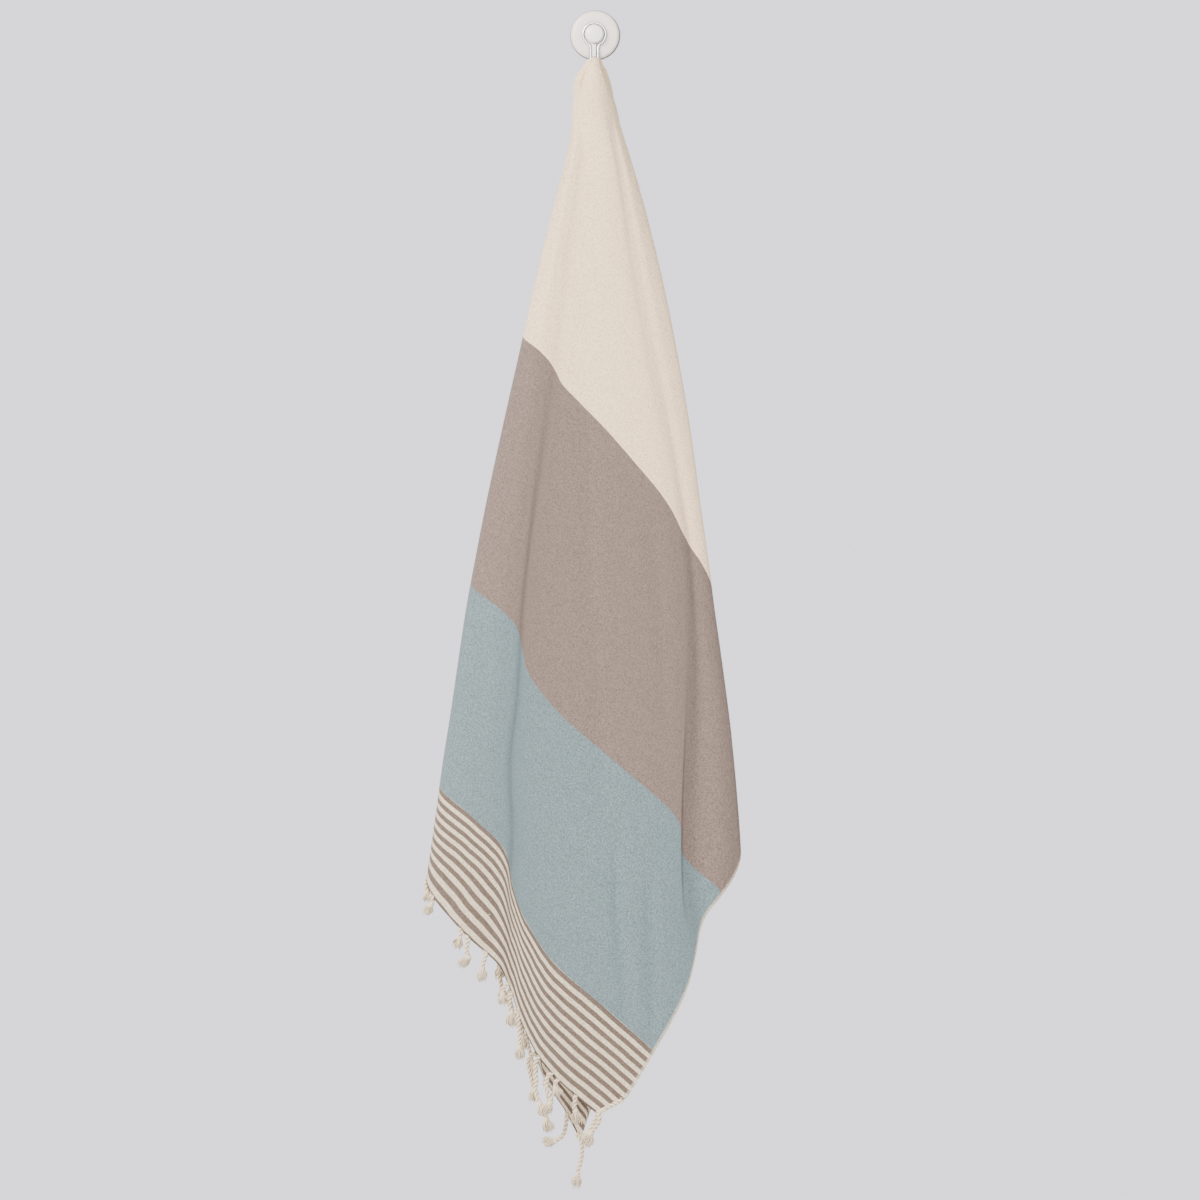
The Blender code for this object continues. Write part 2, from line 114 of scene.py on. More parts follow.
# At each mm from the tip: the two sides' lean in degrees, and the depth before and behind the tip.
outline = np.array((
    (7, -66, 66, 6.7, 6.7),
    (14, -49, 47, 12, 12),
    (30, -43, 34, 17, 18),
    (50, -26, 25, 22, 21),
    (80, -17, 20.4, 26, 24),
    (115, -14.9, 19.6, 29, 26),
    (200, -14.6, 17.9, 33, 27),
    (330, -13.8, 15.7, 38, 28),
    (500, -13.35, 13.35, 42, 28),
    (620, -12.85, 12.25, 44, 28),
    (750, -12.0, 11.4, 46, 28),
    (950, -11.25, 9.75, 50, 28),
    (1200, -10.9, 9.7, 52, 28),
), float)


def turnAt(bearing):  # degrees that the hung cloth turns for a bearing of the flat cloth
    up, across = math.sin(bearing), math.cos(bearing)
    up, lean = up * math.cos(towel["shear"]), up * math.sin(towel["shear"])
    return math.degrees(math.atan2(up, across + lean))


hungDown = towel["length"] - hungUp
flapWidth = towel["width"] - hungAcross
edgeTurn = turnAt(math.pi / 2)
frontCorner = turnAt(math.atan2(hungUp, hungAcross))
frontFlap = turnAt(math.atan2(hungUp, flapWidth))
rearCorner = -turnAt(math.atan2(hungDown, hungAcross))
rearFlap = -turnAt(math.atan2(hungDown, flapWidth))

levels = (200, 560, 890, 1000)  # mm from the tip
capEnds = (30, 115)
folds = (  # name, bearing and turn round the tip, turns, share across, depth at the levels
    ("edge behind left", (-115, edgeTurn), (edgeTurn,) * 3, (0.14, 0.36, 0.47), (56, 66, 74)),
    ("behind left", (-108, 69), (68.6, 67.2, 66), (0.05, 0.17, 0.20), (50, 65, 73)),
    ("left rear", (-100, 65), (64.5, 63.9, 62.8, 60.6), (0.012, 0.02, 0.02), (37, 50, 56)),
    ("left", (-90, 60.3), (60.3, 61.1, 60.4, 57.4), (0, 0, 0), (20, 23, 24)),
    ("left roll", (-75, 52), (57.6, 58.4, 57.9, 55.3), (0.085, 0.115, 0.105, 0.117), (6, 7, 7)),
    ("roll end", (-62, 45), (54.8, 56.2, 55, 53.2), (0.165, 0.188, 0.222, 0.238), (4.5, 5.5, 5.5)),
    ("valley", (-50, 38), (51.6, 53.2, frontFlap), (0.25, 0.222, 0.268, 0.286), (5.5, 8.8, 10.5)),
    ("valley floor", (-43, 34), (49.3, 50.9, 48.8), (0.31, 0.243, 0.300, 0.326), (5, 8.9, 11)),
    ("middle", (-35, 30), (46.9, 46.9, 46.2), (0.40, 0.372, 0.392, 0.397), (3.5, 7.5, 9.5)),
    ("front corner", (-20, 22), (frontCorner,) * 3, (0.52, 0.53, 0.565, 0.57), (1, 3.5, 5)),
    ("middle right", (0, 10), (37.4, 38.4, 41), (0.67, 0.705, 0.69, 0.686), (0, 0, 2)),
    ("ridge", (22, -5), (34, 33.2, 38.3), (0.75, 0.872, 0.808, 0.812), (1.5, 1.5, 3.5, 4)),
    ("step", (40, -15), (31.8, 31.2, 36.3, 36.9), (0.79, 0.91, 0.821, 0.847), (4, 5, 7.5, 7.5)),
    ("step floor", (53, -23), (30, 30.4, 35.4, 35.6), (0.83, 0.93, 0.868, 0.88), (5.5, 9, 14.5, 14)),
    ("right roll", (70, -33), (26.4, 29.4, 34.5), (0.91, 0.964, 0.932, 0.925), (7.5, 10, 11, 19)),
    ("right", (90, -45), (22.6, 27.6, 32.8), (1, 1, 1), (18, 15, 17.5, 30)),
    ("second right", (93, -47), (19.5, 24.6, 28.8), (0.93, 0.94, 0.94), (25, 27, 36, 38)),
    ("second step", (96, -49), (15, 20, 24), (0.80, 0.82, 0.80), (22, 28, 37)),
    ("second middle", (99, -51), (9, 12, 14), (0.55, 0.56, 0.56), (18, 22, 30)),
    ("second valley", (102, -53.5), (3.5, 5, 5), (0.27, 0.25, 0.26), (22, 34, 39)),
    ("second left", (104.5, -55), (1.2, 1.2, 1.2), (0.085, 0.075, 0.07), (24, 34, 39)),
    ("third left", (106, -56.3), (-1.2, -1.2, -1.2), (0.085, 0.075, 0.07), (28, 39, 43)),
    ("third valley", (108, -57.5), (-4, -5, -5), (0.27, 0.24, 0.25), (28, 42, 45)),
    ("third middle", (111, -60), (-13, -13, -13), (0.55, 0.56, 0.56), (24, 29, 36)),
    ("third step", (114, -62), (-22, -23, -23), (0.80, 0.82, 0.80), (29, 36, 42)),
    ("third right", (116.5, -63.8), (-27.4, -28.2, -28.2), (0.945, 0.945, 0.94), (32.5, 39.5, 43)),
    ("fourth right", (118, -65), (-29.4, -30.2, -30.2), (0.945, 0.945, 0.94), (39.5, 47, 49)),
    ("fourth step", (119.5, -66), (-34, -35, -35), (0.80, 0.82, 0.79), (41, 48.5, 50)),
    ("rear corner", (121, -67), (rearCorner,) * 3, (0.52, 0.53, 0.49), (34, 42, 44)),
    ("fourth valley", (123, -69), (rearFlap,) * 3, (0.29, 0.28, 0.335), (38, 50, 48)),
    ("fourth left", (124.6, -70.2), (-56.8, -56.8, -56.4), (0.10, 0.10, 0.25), (40, 52, 51)),
    ("fifth left", (125.6, -70.9), (-59.2, -59.2, -58.8), (0.10, 0.10, 0.25), (45, 57, 60)),
    ("fifth valley", (126.6, -71.6), (-64, -64, -64), (0.29, 0.27, 0.36), (46.5, 59, 63)),
    ("edge at back", (128, -edgeTurn), (-edgeTurn,) * 3, (0.52, 0.50, 0.52), (45, 57, 61)),
)
foldAt = {fold[0]: i for i, fold in enumerate(folds)}
lastFold = len(folds) - 1
capBearing, capTurn = np.array([fold[1] for fold in folds], float).T


def foldTable(part):  # a fold with no value for the lowest level keeps the one above
    rows = [fold[part] for fold in folds]
    return np.array([row + (row[-1],) * (len(levels) - len(row)) for row in rows], float)


foldTurn, foldAcross, foldDepth = (foldTable(part) for part in (2, 3, 4))


def eased(share):
    return share * share * (3 - 2 * share)


def bearingAt(turn):  # the flat cloth's bearing where the hung cloth has turned so far
    side = np.radians(np.abs(turn))
    level = math.cos(towel["shear"]) * np.cos(side) - math.sin(towel["shear"]) * np.sin(side)
    return np.copysign(np.arctan2(np.sin(side), level), turn)


def stretchAt(bearing):
    return np.sqrt(1 + math.sin(towel["shear"]) * np.sin(2 * np.abs(bearing)))


def blendLevels(values, distance):  # a fold table at these distances, one row for each
    level = np.interp(distance, levels, range(len(levels)))
    index = np.minimum(level.astype(int), len(levels) - 2)
    share = eased(level - index)[:, None]
    return values[:, index].T * (1 - share) + values[:, index + 1].T * share


def capShare(distance):
    return eased(np.interp(distance, capEnds, (0, 1)))[:, None]


def foldTurns(distance):
    turn = blendLevels(foldTurn, distance)
    return capTurn + capShare(distance) * (turn - capTurn)


def slopesOf(values, along):  # how values change along the folds, as numpy's gradient does
    gaps, rise = np.diff(along), np.diff(values)
    before, after = gaps[:, :-1], gaps[:, 1:]
    middle = (rise[:, 1:] / after * before + rise[:, :-1] / before * after) / (before + after)
    return np.hstack([rise[:, :1] / gaps[:, :1], middle, rise[:, -1:] / gaps[:, -1:]])


def pick(values, index):
    return values[np.arange(len(index)), index]


def turnOf(column, distance):
    turns = foldTurns(distance)
    i = np.minimum(column.astype(int), lastFold - 1)
    start = pick(turns, i)
    return start + (column - i) * (pick(turns, i + 1) - start)


def placeOf(column, distance):  # the middle of the outer layer
    held = np.maximum(distance, outline[0, 0])
    left, right, before, behind = (np.interp(held, outline[:, 0], outline[:, k]) for k in (1, 2, 3, 4))
    before, behind = before * distance / held, behind * distance / held
    leftX, rightX = (distance * np.sin(np.radians(lean)) for lean in (left, right))
    around = np.radians(capBearing)
    capX = np.sin(around) * np.where(around > 0, rightX[:, None], -leftX[:, None])
    capY = -np.cos(around) * np.where(np.abs(capBearing) < 90, before[:, None], behind[:, None])
    across, depth = blendLevels(foldAcross, distance), blendLevels(foldDepth, distance)
    foldX = leftX[:, None] + across * (rightX - leftX)[:, None]
    foldY = -before[:, None] + depth * np.minimum((before + behind) / depth[:, 0], 1)[:, None]
    opened = capShare(distance)
    xs, ys = capX + opened * (foldX - capX), capY + opened * (foldY - capY)
    turns = foldTurns(distance)
    i = np.minimum(column.astype(int), lastFold - 1)
    t = column - i
    span = pick(turns, i + 1) - pick(turns, i)
    placed = []
    for values in (xs, ys):
        slopes = slopesOf(values, turns)
        low, rise = pick(values, i), pick(values, i + 1) - pick(values, i)
        start, end = pick(slopes, i) * span - rise, rise - pick(slopes, i + 1) * span
        placed.append(low + t * rise + t * (1 - t) * (start * (1 - t) + end * t))
    x, y = placed
    fall = np.sqrt(np.maximum(distance**2 - x * x - y * y, 0))
    return np.array(towel["tip"]) + np.stack([x, y, -fall], 1) / 1000


def unit(vectors):
    return vectors / np.maximum(np.linalg.norm(vectors, axis=-1, keepdims=True), 1e-12)


def circled(angles, first, second):  # unit steps round from first towards second
    return np.cos(angles)[:, None] * first + np.sin(angles)[:, None] * second


def acrossOf(column, distance):
    wide = 0.12  # of a fold, to each side
    ahead = placeOf(np.minimum(column + wide, lastFold), distance)
    return unit(ahead - placeOf(np.maximum(column - wide, 0), distance))


def facingOf(column, distance):  # away from the doubled part
    tall = np.maximum(1.0, distance * 0.01)
    down = placeOf(column, distance + tall) - placeOf(column, np.maximum(distance - tall, 0.01))
    return unit(np.cross(down, acrossOf(column, distance)))


def edgeOf(column, width, beyond=None):  # mm to the cloth's edge, or to a line beyond its hem
    edge = np.full(len(column), 900.0)
    for _ in range(14):  # each round comes closer
        bearing = bearingAt(turnOf(column, edge))
        up = np.where(bearing > 0, hungUp, hungDown) + (beyond or 0)
        flat = up / np.maximum(np.abs(np.sin(bearing)), 1e-6)
        if beyond is None:
            flat = np.minimum(flat, width / np.maximum(np.cos(bearing), 1e-6))
        edge = 1000 * flat * stretchAt(bearing)
    return edge


# The towel as one sheet, doubled behind itself beyond the hook.

sheetGrid = {
    "seenFolds": foldAt["second right"],  # folds at the front, which get more columns
    "seenColumns": 10,
    "hiddenColumns": 5,
    "cornerColumns": np.arange(-0.30, 0.31, 0.025),  # more of them at the front corner
    "nearRows": (
        3.5, 7, 10, 13, 16, 19.5, 23, 27, 31, 35, 39.5,
        44, 49, 54, 59, 65, 71, 78, 86, 95, 105, 115,
    ),
    "midRows": 40,
    "hemRows": 12,
    "hemDepth": 45,
    "turnSteps": (0.6, 1.3, 2.1, 3.0, 4.0, 5.0, 6.2),  # mm past where the corner turns under
    "edgeStop": 2,  # or past this far from the hem
    "edgeSteps": 3,  # round each doubled edge
}
flapHem = {"rise": 0.045, "grows": 3.5, "fades": 2.5}  # a share, then over how many folds
cornerTurn = {
    "alongHem": 0.018,
    "alongSelvedge": 0.036,
    "radius": 0.0017,
    "near": 0.08,  # only cloth this near both edges turns
    "above": 0.06,  # and no higher than this over the line
}
creases = (  # soft troughs in the front, mm: depth, half width, then x and z down its line
    (1.6, 10, ((-9, -436), (-5, -502), (-8, -579), (5, -744), (8, -837))),
    (3.0, 8, ((24, -930), (28, -1000), (36, -1060))),
    (2.6, 7, ((60, -960), (63, -1020), (64, -1075))),
    (1.2, 8, ((66, -557), (72, -639), (76, -733))),
    (1.4, 9, ((-121, -672), (-122, -837))),
    (
        5.0, 3.8,
        ((-6.3, -31), (-10.1, -45.8), (-12.1, -53.6), (-13.5, -62.4), (-16.5, -72.2), (-18, -84)),
    ),
)
tipStep = (  # to the right of this line all is sunk
    6.5, 1.2,
    ((1.5, -24), (3.5, -30), (7.5, -43.8), (11.3, -52.6), (15.3, -60.4), (20.1, -72.2), (25, -84)),
)
frontNudges = (  # places pulled aside in the front: x, z, radius and pull, mm
    (-86, -800, 58, -8),
)
nudges = (  # and at the rear layer's corner
    (2, -1188, 22, 13),
    (-12, -1202, 12, 3),
    (-50, -1134, 27, -12),
    (-47, -1168, 14, -4),
)


def sheetColumns():
    front, many, few = (sheetGrid[key] for key in ("seenFolds", "seenColumns", "hiddenColumns"))
    seen = np.arange(front * many) / many
    hidden = front + np.arange((lastFold - front) * few + 1) / few
    corner = foldAt["front corner"] + sheetGrid["cornerColumns"]
    return np.unique(np.round(np.concatenate([seen, hidden, corner]), 4))


def lineShare(values, line, z):  # mm aside of a given line, and past its ends
    xs, zs = (np.array(line)[:, k] / 1000 for k in (0, 1))
    beyond = np.maximum(np.maximum(z - zs[0], zs[-1] - z), 0)
    return (values - np.interp(z, zs[::-1], xs[::-1])) * 1000, beyond * 1000


def cornerStart(column, edge):  # mm down to where the corner turns under
    bearing = bearingAt(turnOf(column, edge))
    side, hem = cornerTurn["alongSelvedge"], cornerTurn["alongHem"]
    flat = hungUp / side + hungAcross / hem - 1
    flat = flat / (np.sin(bearing) / side + np.cos(bearing) / hem)
    reach = np.where(bearing > 0.3, 1000 * flat * stretchAt(bearing), np.inf)
    return np.minimum(reach, edge - sheetGrid["edgeStop"])


def flapRise(column):  # what is left of the doubled part's fall behind the front
    last = foldAt["valley"] + 3
    share = eased(np.clip(column / flapHem["grows"], 0, 1))
    return 1 - flapHem["rise"] * (share * eased(np.clip((last - column) / flapHem["fades"], 0, 1)))


def sheetRows(edge, start):  # distances down each column, in mm
    near = sheetGrid["nearRows"]
    rows = [np.full(len(edge), float(row)) for row in near]
    top = start - sheetGrid["hemDepth"]
    for low, high, count in ((near[-1], top, sheetGrid["midRows"]), (top, start, sheetGrid["hemRows"])):
        rows += [low + (high - low) * i / count for i in range(1, count + 1)]
    steps = sheetGrid["turnSteps"]
    for i, step in enumerate(steps):
        rows.append(start + np.minimum(step, (edge - start) * (i + 1) / (len(steps) + 1)))
    return np.array(rows + [edge])


def flatPlace(column, distance, flap):  # across and along the flat towel, in metres
    bearing = bearingAt(turnOf(column, distance))
    reach = distance / 1000 / stretchAt(bearing)
    across = hungAcross + (1 if flap else -1) * reach * np.cos(bearing)
    return np.stack([across, hungUp - reach * np.sin(bearing)], 1)


def frontShare(column):
    return eased(np.clip(sheetGrid["seenFolds"] + 1 - column, 0, 1))


def creaseDepth(points, column):  # how far the front sinks at each point
    sunk = np.zeros(len(points))
    for depth, wide, line in creases:
        off, beyond = lineShare(points[:, 0], line, points[:, 2])
        fade = max(12, 4 * wide)  # mm past the line's ends
        sunk += depth * np.exp(-((off / wide) ** 2)) * np.exp(-((beyond / fade) ** 2))
    depth, wide, line = tipStep
    off, beyond = lineShare(points[:, 0], line, points[:, 2])
    sunk += depth * eased(np.clip(off / wide, 0, 1)) * np.exp(-((beyond / 10) ** 2))
    return sunk / 1000 * frontShare(column) * eased(np.clip((column - 1.5) / 1.5, 0, 1))


def nudge(points, column):
    moved = points.copy()
    rear = column > foldAt["third right"]
    for places, share in ((frontNudges, frontShare(column)), (nudges, rear)):
        for x, z, radius, pull in places:
            away = ((points[:, 0] * 1000 - x) ** 2 + (points[:, 2] * 1000 - z) ** 2) / radius**2
            moved[:, 0] += share * pull / 1000 * np.exp(-away)
    return moved


def layerPlace(column, distance, layer):  # the finished sheet's middle
    place = placeOf(column, distance)
    place[:, 1] += creaseDepth(place, column)
    place = nudge(place, column)
    return place - facingOf(column, distance) * towel["flapGap"] * layer if layer else place


def buildSheet():
    columns = sheetColumns()
    outerEdge = edgeOf(columns, hungAcross)
    innerEdge = edgeOf(columns, flapWidth)
    outer = sheetRows(outerEdge, cornerStart(columns, outerEdge))
    inner = sheetRows(innerEdge, innerEdge - sheetGrid["edgeStop"])
    risen = flapRise(columns)
    steps = sheetGrid["edgeSteps"]
    points, flats = [], []
    for outerRow, innerRow in zip(outer, inner):
        faceOut = facingOf(columns, outerRow)
        placeOut, placeIn = layerPlace(columns, outerRow, 0), layerPlace(columns, innerRow * risen, 1)
        flatOut, flatIn = flatPlace(columns, outerRow, False), flatPlace(columns, innerRow, True)
        rounds = []
        for end, way in ((-1, 1), (0, -1)):
            aside = acrossOf(columns[[end]], outerRow[[end]])[0] * way
            centre = placeOut[end] - faceOut[end] * towel["flapGap"] / 2
            angles = np.pi * np.arange(1, steps + 1) / (steps + 1)
            spin = circled(angles, faceOut[end], aside)
            rounds.append((centre + spin * towel["flapGap"] / 2, np.repeat(flatOut[[end]], steps, 0)))
        points.append(np.concatenate([placeOut, rounds[0][0], placeIn[::-1], rounds[1][0][::-1]]))
        flats.append(np.concatenate([flatOut, rounds[0][1], flatIn[::-1], rounds[1][1]]))
    return columns, np.array(points), np.array(flats)


columns, sheetPoints, sheetFlats = buildSheet()
print("towel sheet", sheetPoints.shape)


def turnCornerUnder(points, flats):  # the corner rolls back behind the front along a slanting line
    front = columns < foldAt["right"]
    edge = edgeOf(columns, hungAcross)
    start = cornerStart(columns, edge)
    turning = front & (start < edge - sheetGrid["edgeStop"] - 0.01)
    crossing = np.flatnonzero(turning)[[0, -1]]
    onHem, onSide = layerPlace(columns[crossing], start[crossing], 0)
    middle = np.array([float(foldAt["front corner"])])
    corner = layerPlace(middle, edgeOf(middle, hungAcross), 0)[0]
    along = unit(onSide - onHem)
    outward = corner - onHem
    outward = unit(outward - along * (outward @ along))
    facing = np.cross(along, outward)
    facing = facing if facing[1] < 0 else -facing
    radius = cornerTurn["radius"]
    cells = points[:, : len(columns)]
    past = (cells - onHem) @ outward
    near = front[None, :] & (past > 0) & (cells[..., 2] < onSide[2] + cornerTurn["above"])
    near &= (flats[:, : len(columns)] < cornerTurn["near"]).all(2)
    angle = np.minimum(past / radius, np.pi)
    reach = radius * np.sin(angle) - np.maximum(past - np.pi * radius, 0)
    shift = (reach - past)[..., None] * outward - (radius * (1 - np.cos(angle)))[..., None] * facing
    cells[near] += shift[near]
    return onHem, onSide, outward, facing


cornerHem, cornerSide, cornerOut, cornerFacing = turnCornerUnder(sheetPoints, sheetFlats)


def sheetObject(name, points, flats):
    rows, around = points.shape[:2]
    tip = np.array(towel["tip"])
    verts = np.concatenate([points.reshape(-1, 3), [tip, tip - np.array([0, 0, towel["flapGap"]])]])
    tipFlats = [[hungAcross, hungUp]] * 2
    faces = []
    for r in range(rows - 1):
        a, b = r * around, (r + 1) * around
        faces += [(a + i, b + i, b + (i + 1) % around, a + (i + 1) % around) for i in range(around)]
    outerEnd = len(columns) + sheetGrid["edgeSteps"] // 2
    apexOut, apexIn = len(verts) - 2, len(verts) - 1
    innerEnd = around - sheetGrid["edgeSteps"] // 2 - 1
    for i in range(around):
        apex = apexOut if i < outerEnd or i >= innerEnd else apexIn
        faces.append((apex, i, (i + 1) % around))
    faces += [(apexOut, outerEnd, apexIn), (apexOut, apexIn, innerEnd)]
    return meshObject(name, verts, faces, "flat", np.concatenate([flats.reshape(-1, 2), tipFlats]))


towelSheet = sheetObject("towelSheet", sheetPoints, sheetFlats)
takeUp(towelSheet)
editAll()
endEdit()
thickness = towelSheet.modifiers.new("thickness", "SOLIDIFY")
thickness.thickness = towel["thick"]
thickness.offset = 0
thickness.use_even_offset = False


# What the materials share.

def dress(piece, material, node=None):  # and the CAD node that it stands for
    piece.data.materials.clear()
    piece.data.materials.append(material)
    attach(piece, "root")
    if node:
        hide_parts(node)


def newMaterial(name, **values):
    material = bpy.data.materials.new(name)
    material.use_nodes = True
    shader = material.node_tree.nodes["Principled BSDF"]
    for key, value in values.items():
        shader.inputs[key].default_value = value
    return material, material.node_tree, shader


def addNode(tree, kind, links=(), **settings):  # links: (input, what feeds it) pairs
    node = tree.nodes.new(kind)
    for key, value in settings.items():
        setattr(node, key, value)
    for socket, value in links:
        if isinstance(value, bpy.types.NodeSocket):
            tree.links.new(value, node.inputs[socket])
        else:
            node.inputs[socket].default_value = value
    return node


def maths(tree, operation, first, second=0.0, third=0.0, clamp=False):
    links = ((0, first), (1, second), (2, third))
    return addNode(tree, "ShaderNodeMath", links, operation=operation, use_clamp=clamp).outputs[0]


def past(tree, value, edge, soft):  # 0 before the edge and 1 past it
    return maths(tree, "DIVIDE", maths(tree, "SUBTRACT", value, edge), soft, clamp=True)


def mixed(tree, share, first, second):
    links = ((0, share), (6, first), (7, second))
    return addNode(tree, "ShaderNodeMix", links, data_type="RGBA").outputs[2]


def scaled(tree, vector, scale):
    links = ((0, vector), ("Scale", scale))
    return addNode(tree, "ShaderNodeVectorMath", links, operation="SCALE").outputs[0]


def ownPlace(tree):
    return addNode(tree, "ShaderNodeTexCoord").outputs["Object"]


def stretched(tree, place, scale):
    return addNode(tree, "ShaderNodeMapping", (("Vector", place), ("Scale", scale))).outputs[0]


def noise(tree, place, scale, detail):
    links = (("Vector", place), ("Scale", scale), ("Detail", detail))
    return addNode(tree, "ShaderNodeTexNoise", links).outputs[0]


def bumped(tree, shader, height, strength, deep=0.0002):
    links = (("Strength", strength), ("Distance", deep), ("Height", height))
    tree.links.new(addNode(tree, "ShaderNodeBump", links).outputs[0], shader.inputs["Normal"])


def newGroup(name, values, outputs):  # a place on the surface and values in, values out
    group = bpy.data.node_groups.new(name, "ShaderNodeTree")
    group.interface.new_socket("Flat", in_out="INPUT", socket_type="NodeSocketVector")
    for label in values + outputs:
        way = "INPUT" if label in values else "OUTPUT"
        group.interface.new_socket(label, in_out=way, socket_type="NodeSocketFloat")
    return group, group.nodes.new("NodeGroupInput").outputs, group.nodes.new("NodeGroupOutput").inputs


def weaveGroup():  # speckle of the yarns, slubs along the weft, and the height of the threads
    group, given, made = newGroup("plainWeave", ("Pitch", "Slubs"), ("Speckle", "Slub", "Height"))
    cells = scaled(group, given["Flat"], maths(group, "DIVIDE", 1.0, given["Pitch"]))
    whole = addNode(group, "ShaderNodeVectorMath", ((0, cells),), operation="FLOOR").outputs[0]
    crossing = addNode(group, "ShaderNodeTexWhiteNoise", (("Vector", whole),)).outputs[0]
    each, patch = 0.6, 0.8  # how much the crossings and small patches differ
    cloud = maths(group, "MULTIPLY", noise(group, cells, 0.55, 2.0), patch)
    both = maths(group, "MULTIPLY_ADD", crossing, each, cloud)
    group.links.new(maths(group, "SUBTRACT", both, (each + patch) / 2), made["Speckle"])
    slub = noise(group, stretched(group, given["Flat"], (9, 420, 1)), 1.0, 3.0)
    uneven = maths(group, "SUBTRACT", slub, 0.5)
    group.links.new(maths(group, "MULTIPLY", uneven, given["Slubs"]), made["Slub"])
    split = addNode(group, "ShaderNodeSeparateXYZ", ((0, cells),)).outputs
    warp, weft = (maths(group, "SINE", maths(group, "MULTIPLY", split[i], math.pi)) for i in (0, 1))
    checks = maths(group, "MULTIPLY", warp, weft)
    group.links.new(maths(group, "MULTIPLY_ADD", crossing, 0.7, checks), made["Height"])
    return group


weave = weaveGroup()

cloth = {
    "pitch": 0.00095,  # from thread to thread
    "slubs": 0.12,
    "speckle": (0.85, 0.70),  # on the darker bands and on the cream
    "bandEdge": 0.0006,  # how soft a band's edge is
    "wander": 0.0034,  # the weft isn't quite straight
    "wanderStretch": (26, 6, 1),
    "hemSeamAndShade": (0.0011, 0.0004),  # how wide and how soft; darker than the stripes, partly painted shade along the hem
    "sideEdge": (0.0038, 0.0022, 0.6),  # and how strong
}
towelColours = {  # as the shader sees them
    "cream": (0.925, 0.72, 0.505, 1),
    "taupe": (0.184, 0.142, 0.126, 1),
    "aqua": (0.149, 0.210, 0.237, 1),
    "stripeCream": (0.64, 0.565, 0.435, 1),
    "stripeTaupe": (0.139, 0.103, 0.087, 1),
    "selvedge": (0.66, 0.57, 0.44, 1),
    # the hem's dark seam: partly the hem thread's own colour, partly painted shade at the hem
    "hem": (0.075, 0.055, 0.046, 1),
}


def cottonMaterial():
    looks = {"Roughness": 0.92, "Sheen Weight": 0.18, "Specular IOR Level": 0.2}
    material, tree, shader = newMaterial("towelCotton", **looks)
    flat = addNode(tree, "ShaderNodeUVMap", uv_map="flat").outputs[0]
    split = addNode(tree, "ShaderNodeSeparateXYZ", ((0, flat),)).outputs
    fromHem = maths(tree, "MINIMUM", split[1], maths(tree, "SUBTRACT", towel["length"], split[1]))
    fromSide = maths(tree, "MINIMUM", split[0], maths(tree, "SUBTRACT", towel["width"], split[0]))

    def pastBand(name):
        return past(tree, fromHem, bands[name] - cloth["bandEdge"] / 2, cloth["bandEdge"])

    links = (("Flat", flat), ("Pitch", cloth["pitch"]), ("Slubs", cloth["slubs"]))
    woven = addNode(tree, "ShaderNodeGroup", links, node_tree=weave).outputs
    beat = noise(tree, stretched(tree, flat, cloth["wanderStretch"]), 1.0, 2.0)
    laid = maths(tree, "MULTIPLY_ADD", maths(tree, "SUBTRACT", beat, 0.5), cloth["wander"], fromHem)
    phase = maths(tree, "DIVIDE", maths(tree, "SUBTRACT", bands["stripes"], laid), bands["pair"])
    dark = bands["darkShare"] / 2
    saw = maths(tree, "PINGPONG", maths(tree, "SUBTRACT", phase, dark), 0.5)
    toDark = past(tree, dark, saw, 0.04)
    colour = mixed(tree, toDark, towelColours["stripeCream"], towelColours["stripeTaupe"])
    # the dark seam along the hem, partly painted shade
    wide, soft = cloth["hemSeamAndShade"]
    colour = mixed(tree, past(tree, wide, laid, soft), colour, towelColours["hem"])
    for line, name in (("stripes", "aqua"), ("aqua", "taupe"), ("taupe", "cream")):
        colour = mixed(tree, pastBand(line), colour, towelColours[name])
    wide, soft, strong = cloth["sideEdge"]
    edge = maths(tree, "MULTIPLY", past(tree, wide, fromSide, soft), strong)
    colour = mixed(tree, edge, colour, towelColours["selvedge"])
    onDark, onCream = cloth["speckle"]
    strength = maths(tree, "MULTIPLY_ADD", pastBand("taupe"), onCream - onDark, onDark)
    lift = maths(tree, "MULTIPLY_ADD", woven["Speckle"], strength, woven["Slub"])
    tinted = scaled(tree, colour, maths(tree, "ADD", lift, 1.0))
    tree.links.new(tinted, shader.inputs["Base Color"])
    bumped(tree, shader, woven["Height"], 0.3)
    return material


dress(towelSheet, cottonMaterial(), "towel_cloth")
print("towel cloth ready", len(towelSheet.data.polygons), "faces")


# The fringe: twisted tassels, each with its knot and tuft.

fringe = {
    "count": 26,
    "rearCount": 23,  # more would press into their neighbours
    "first": 0.50,  # the first tassel, in spacings from the selvedge
    "root": 0.0012,  # how deep it starts in the hem
    "depths": (0.93, 1.16),  # below the hook
    "lengths": (0.036, 0.060),
    "bend": 0.020,
    "sway": 0.10,
    "swayWaves": (48, 30),
    "behind": 0.16,  # how far the ones behind the front hang out to the right
    "wallLean": 0.15,
    "seenLean": 0.08,
    "fromWall": 0.0058,  # the tassels' middles keep this far off the wall
    "flapLean": 0.20,
    "layerLean": 0.2,
    "tail": 0.0128,  # from the knot to the tuft's end
    "plyRadius": 0.00145,
    "plyApart": 0.00125,
    "twist": 0.0100,  # metres for one turn of the cord
    "step": 0.0009,  # between the cord's rings
    "knot": (0.0014, 0.0019, 0.0015),  # half its height, how far out it winds, its yarn
    "fibres": 84,
    "belly": (0.0010, 0.0048),
    "curl": 0.0014,
    "fibreThick": (0.00055, 0.00032),
    "cornerOff": (0.001, 0.0008),  # the corner's cords, before the cloth and out of it
    "cornerSpan": 30,
}
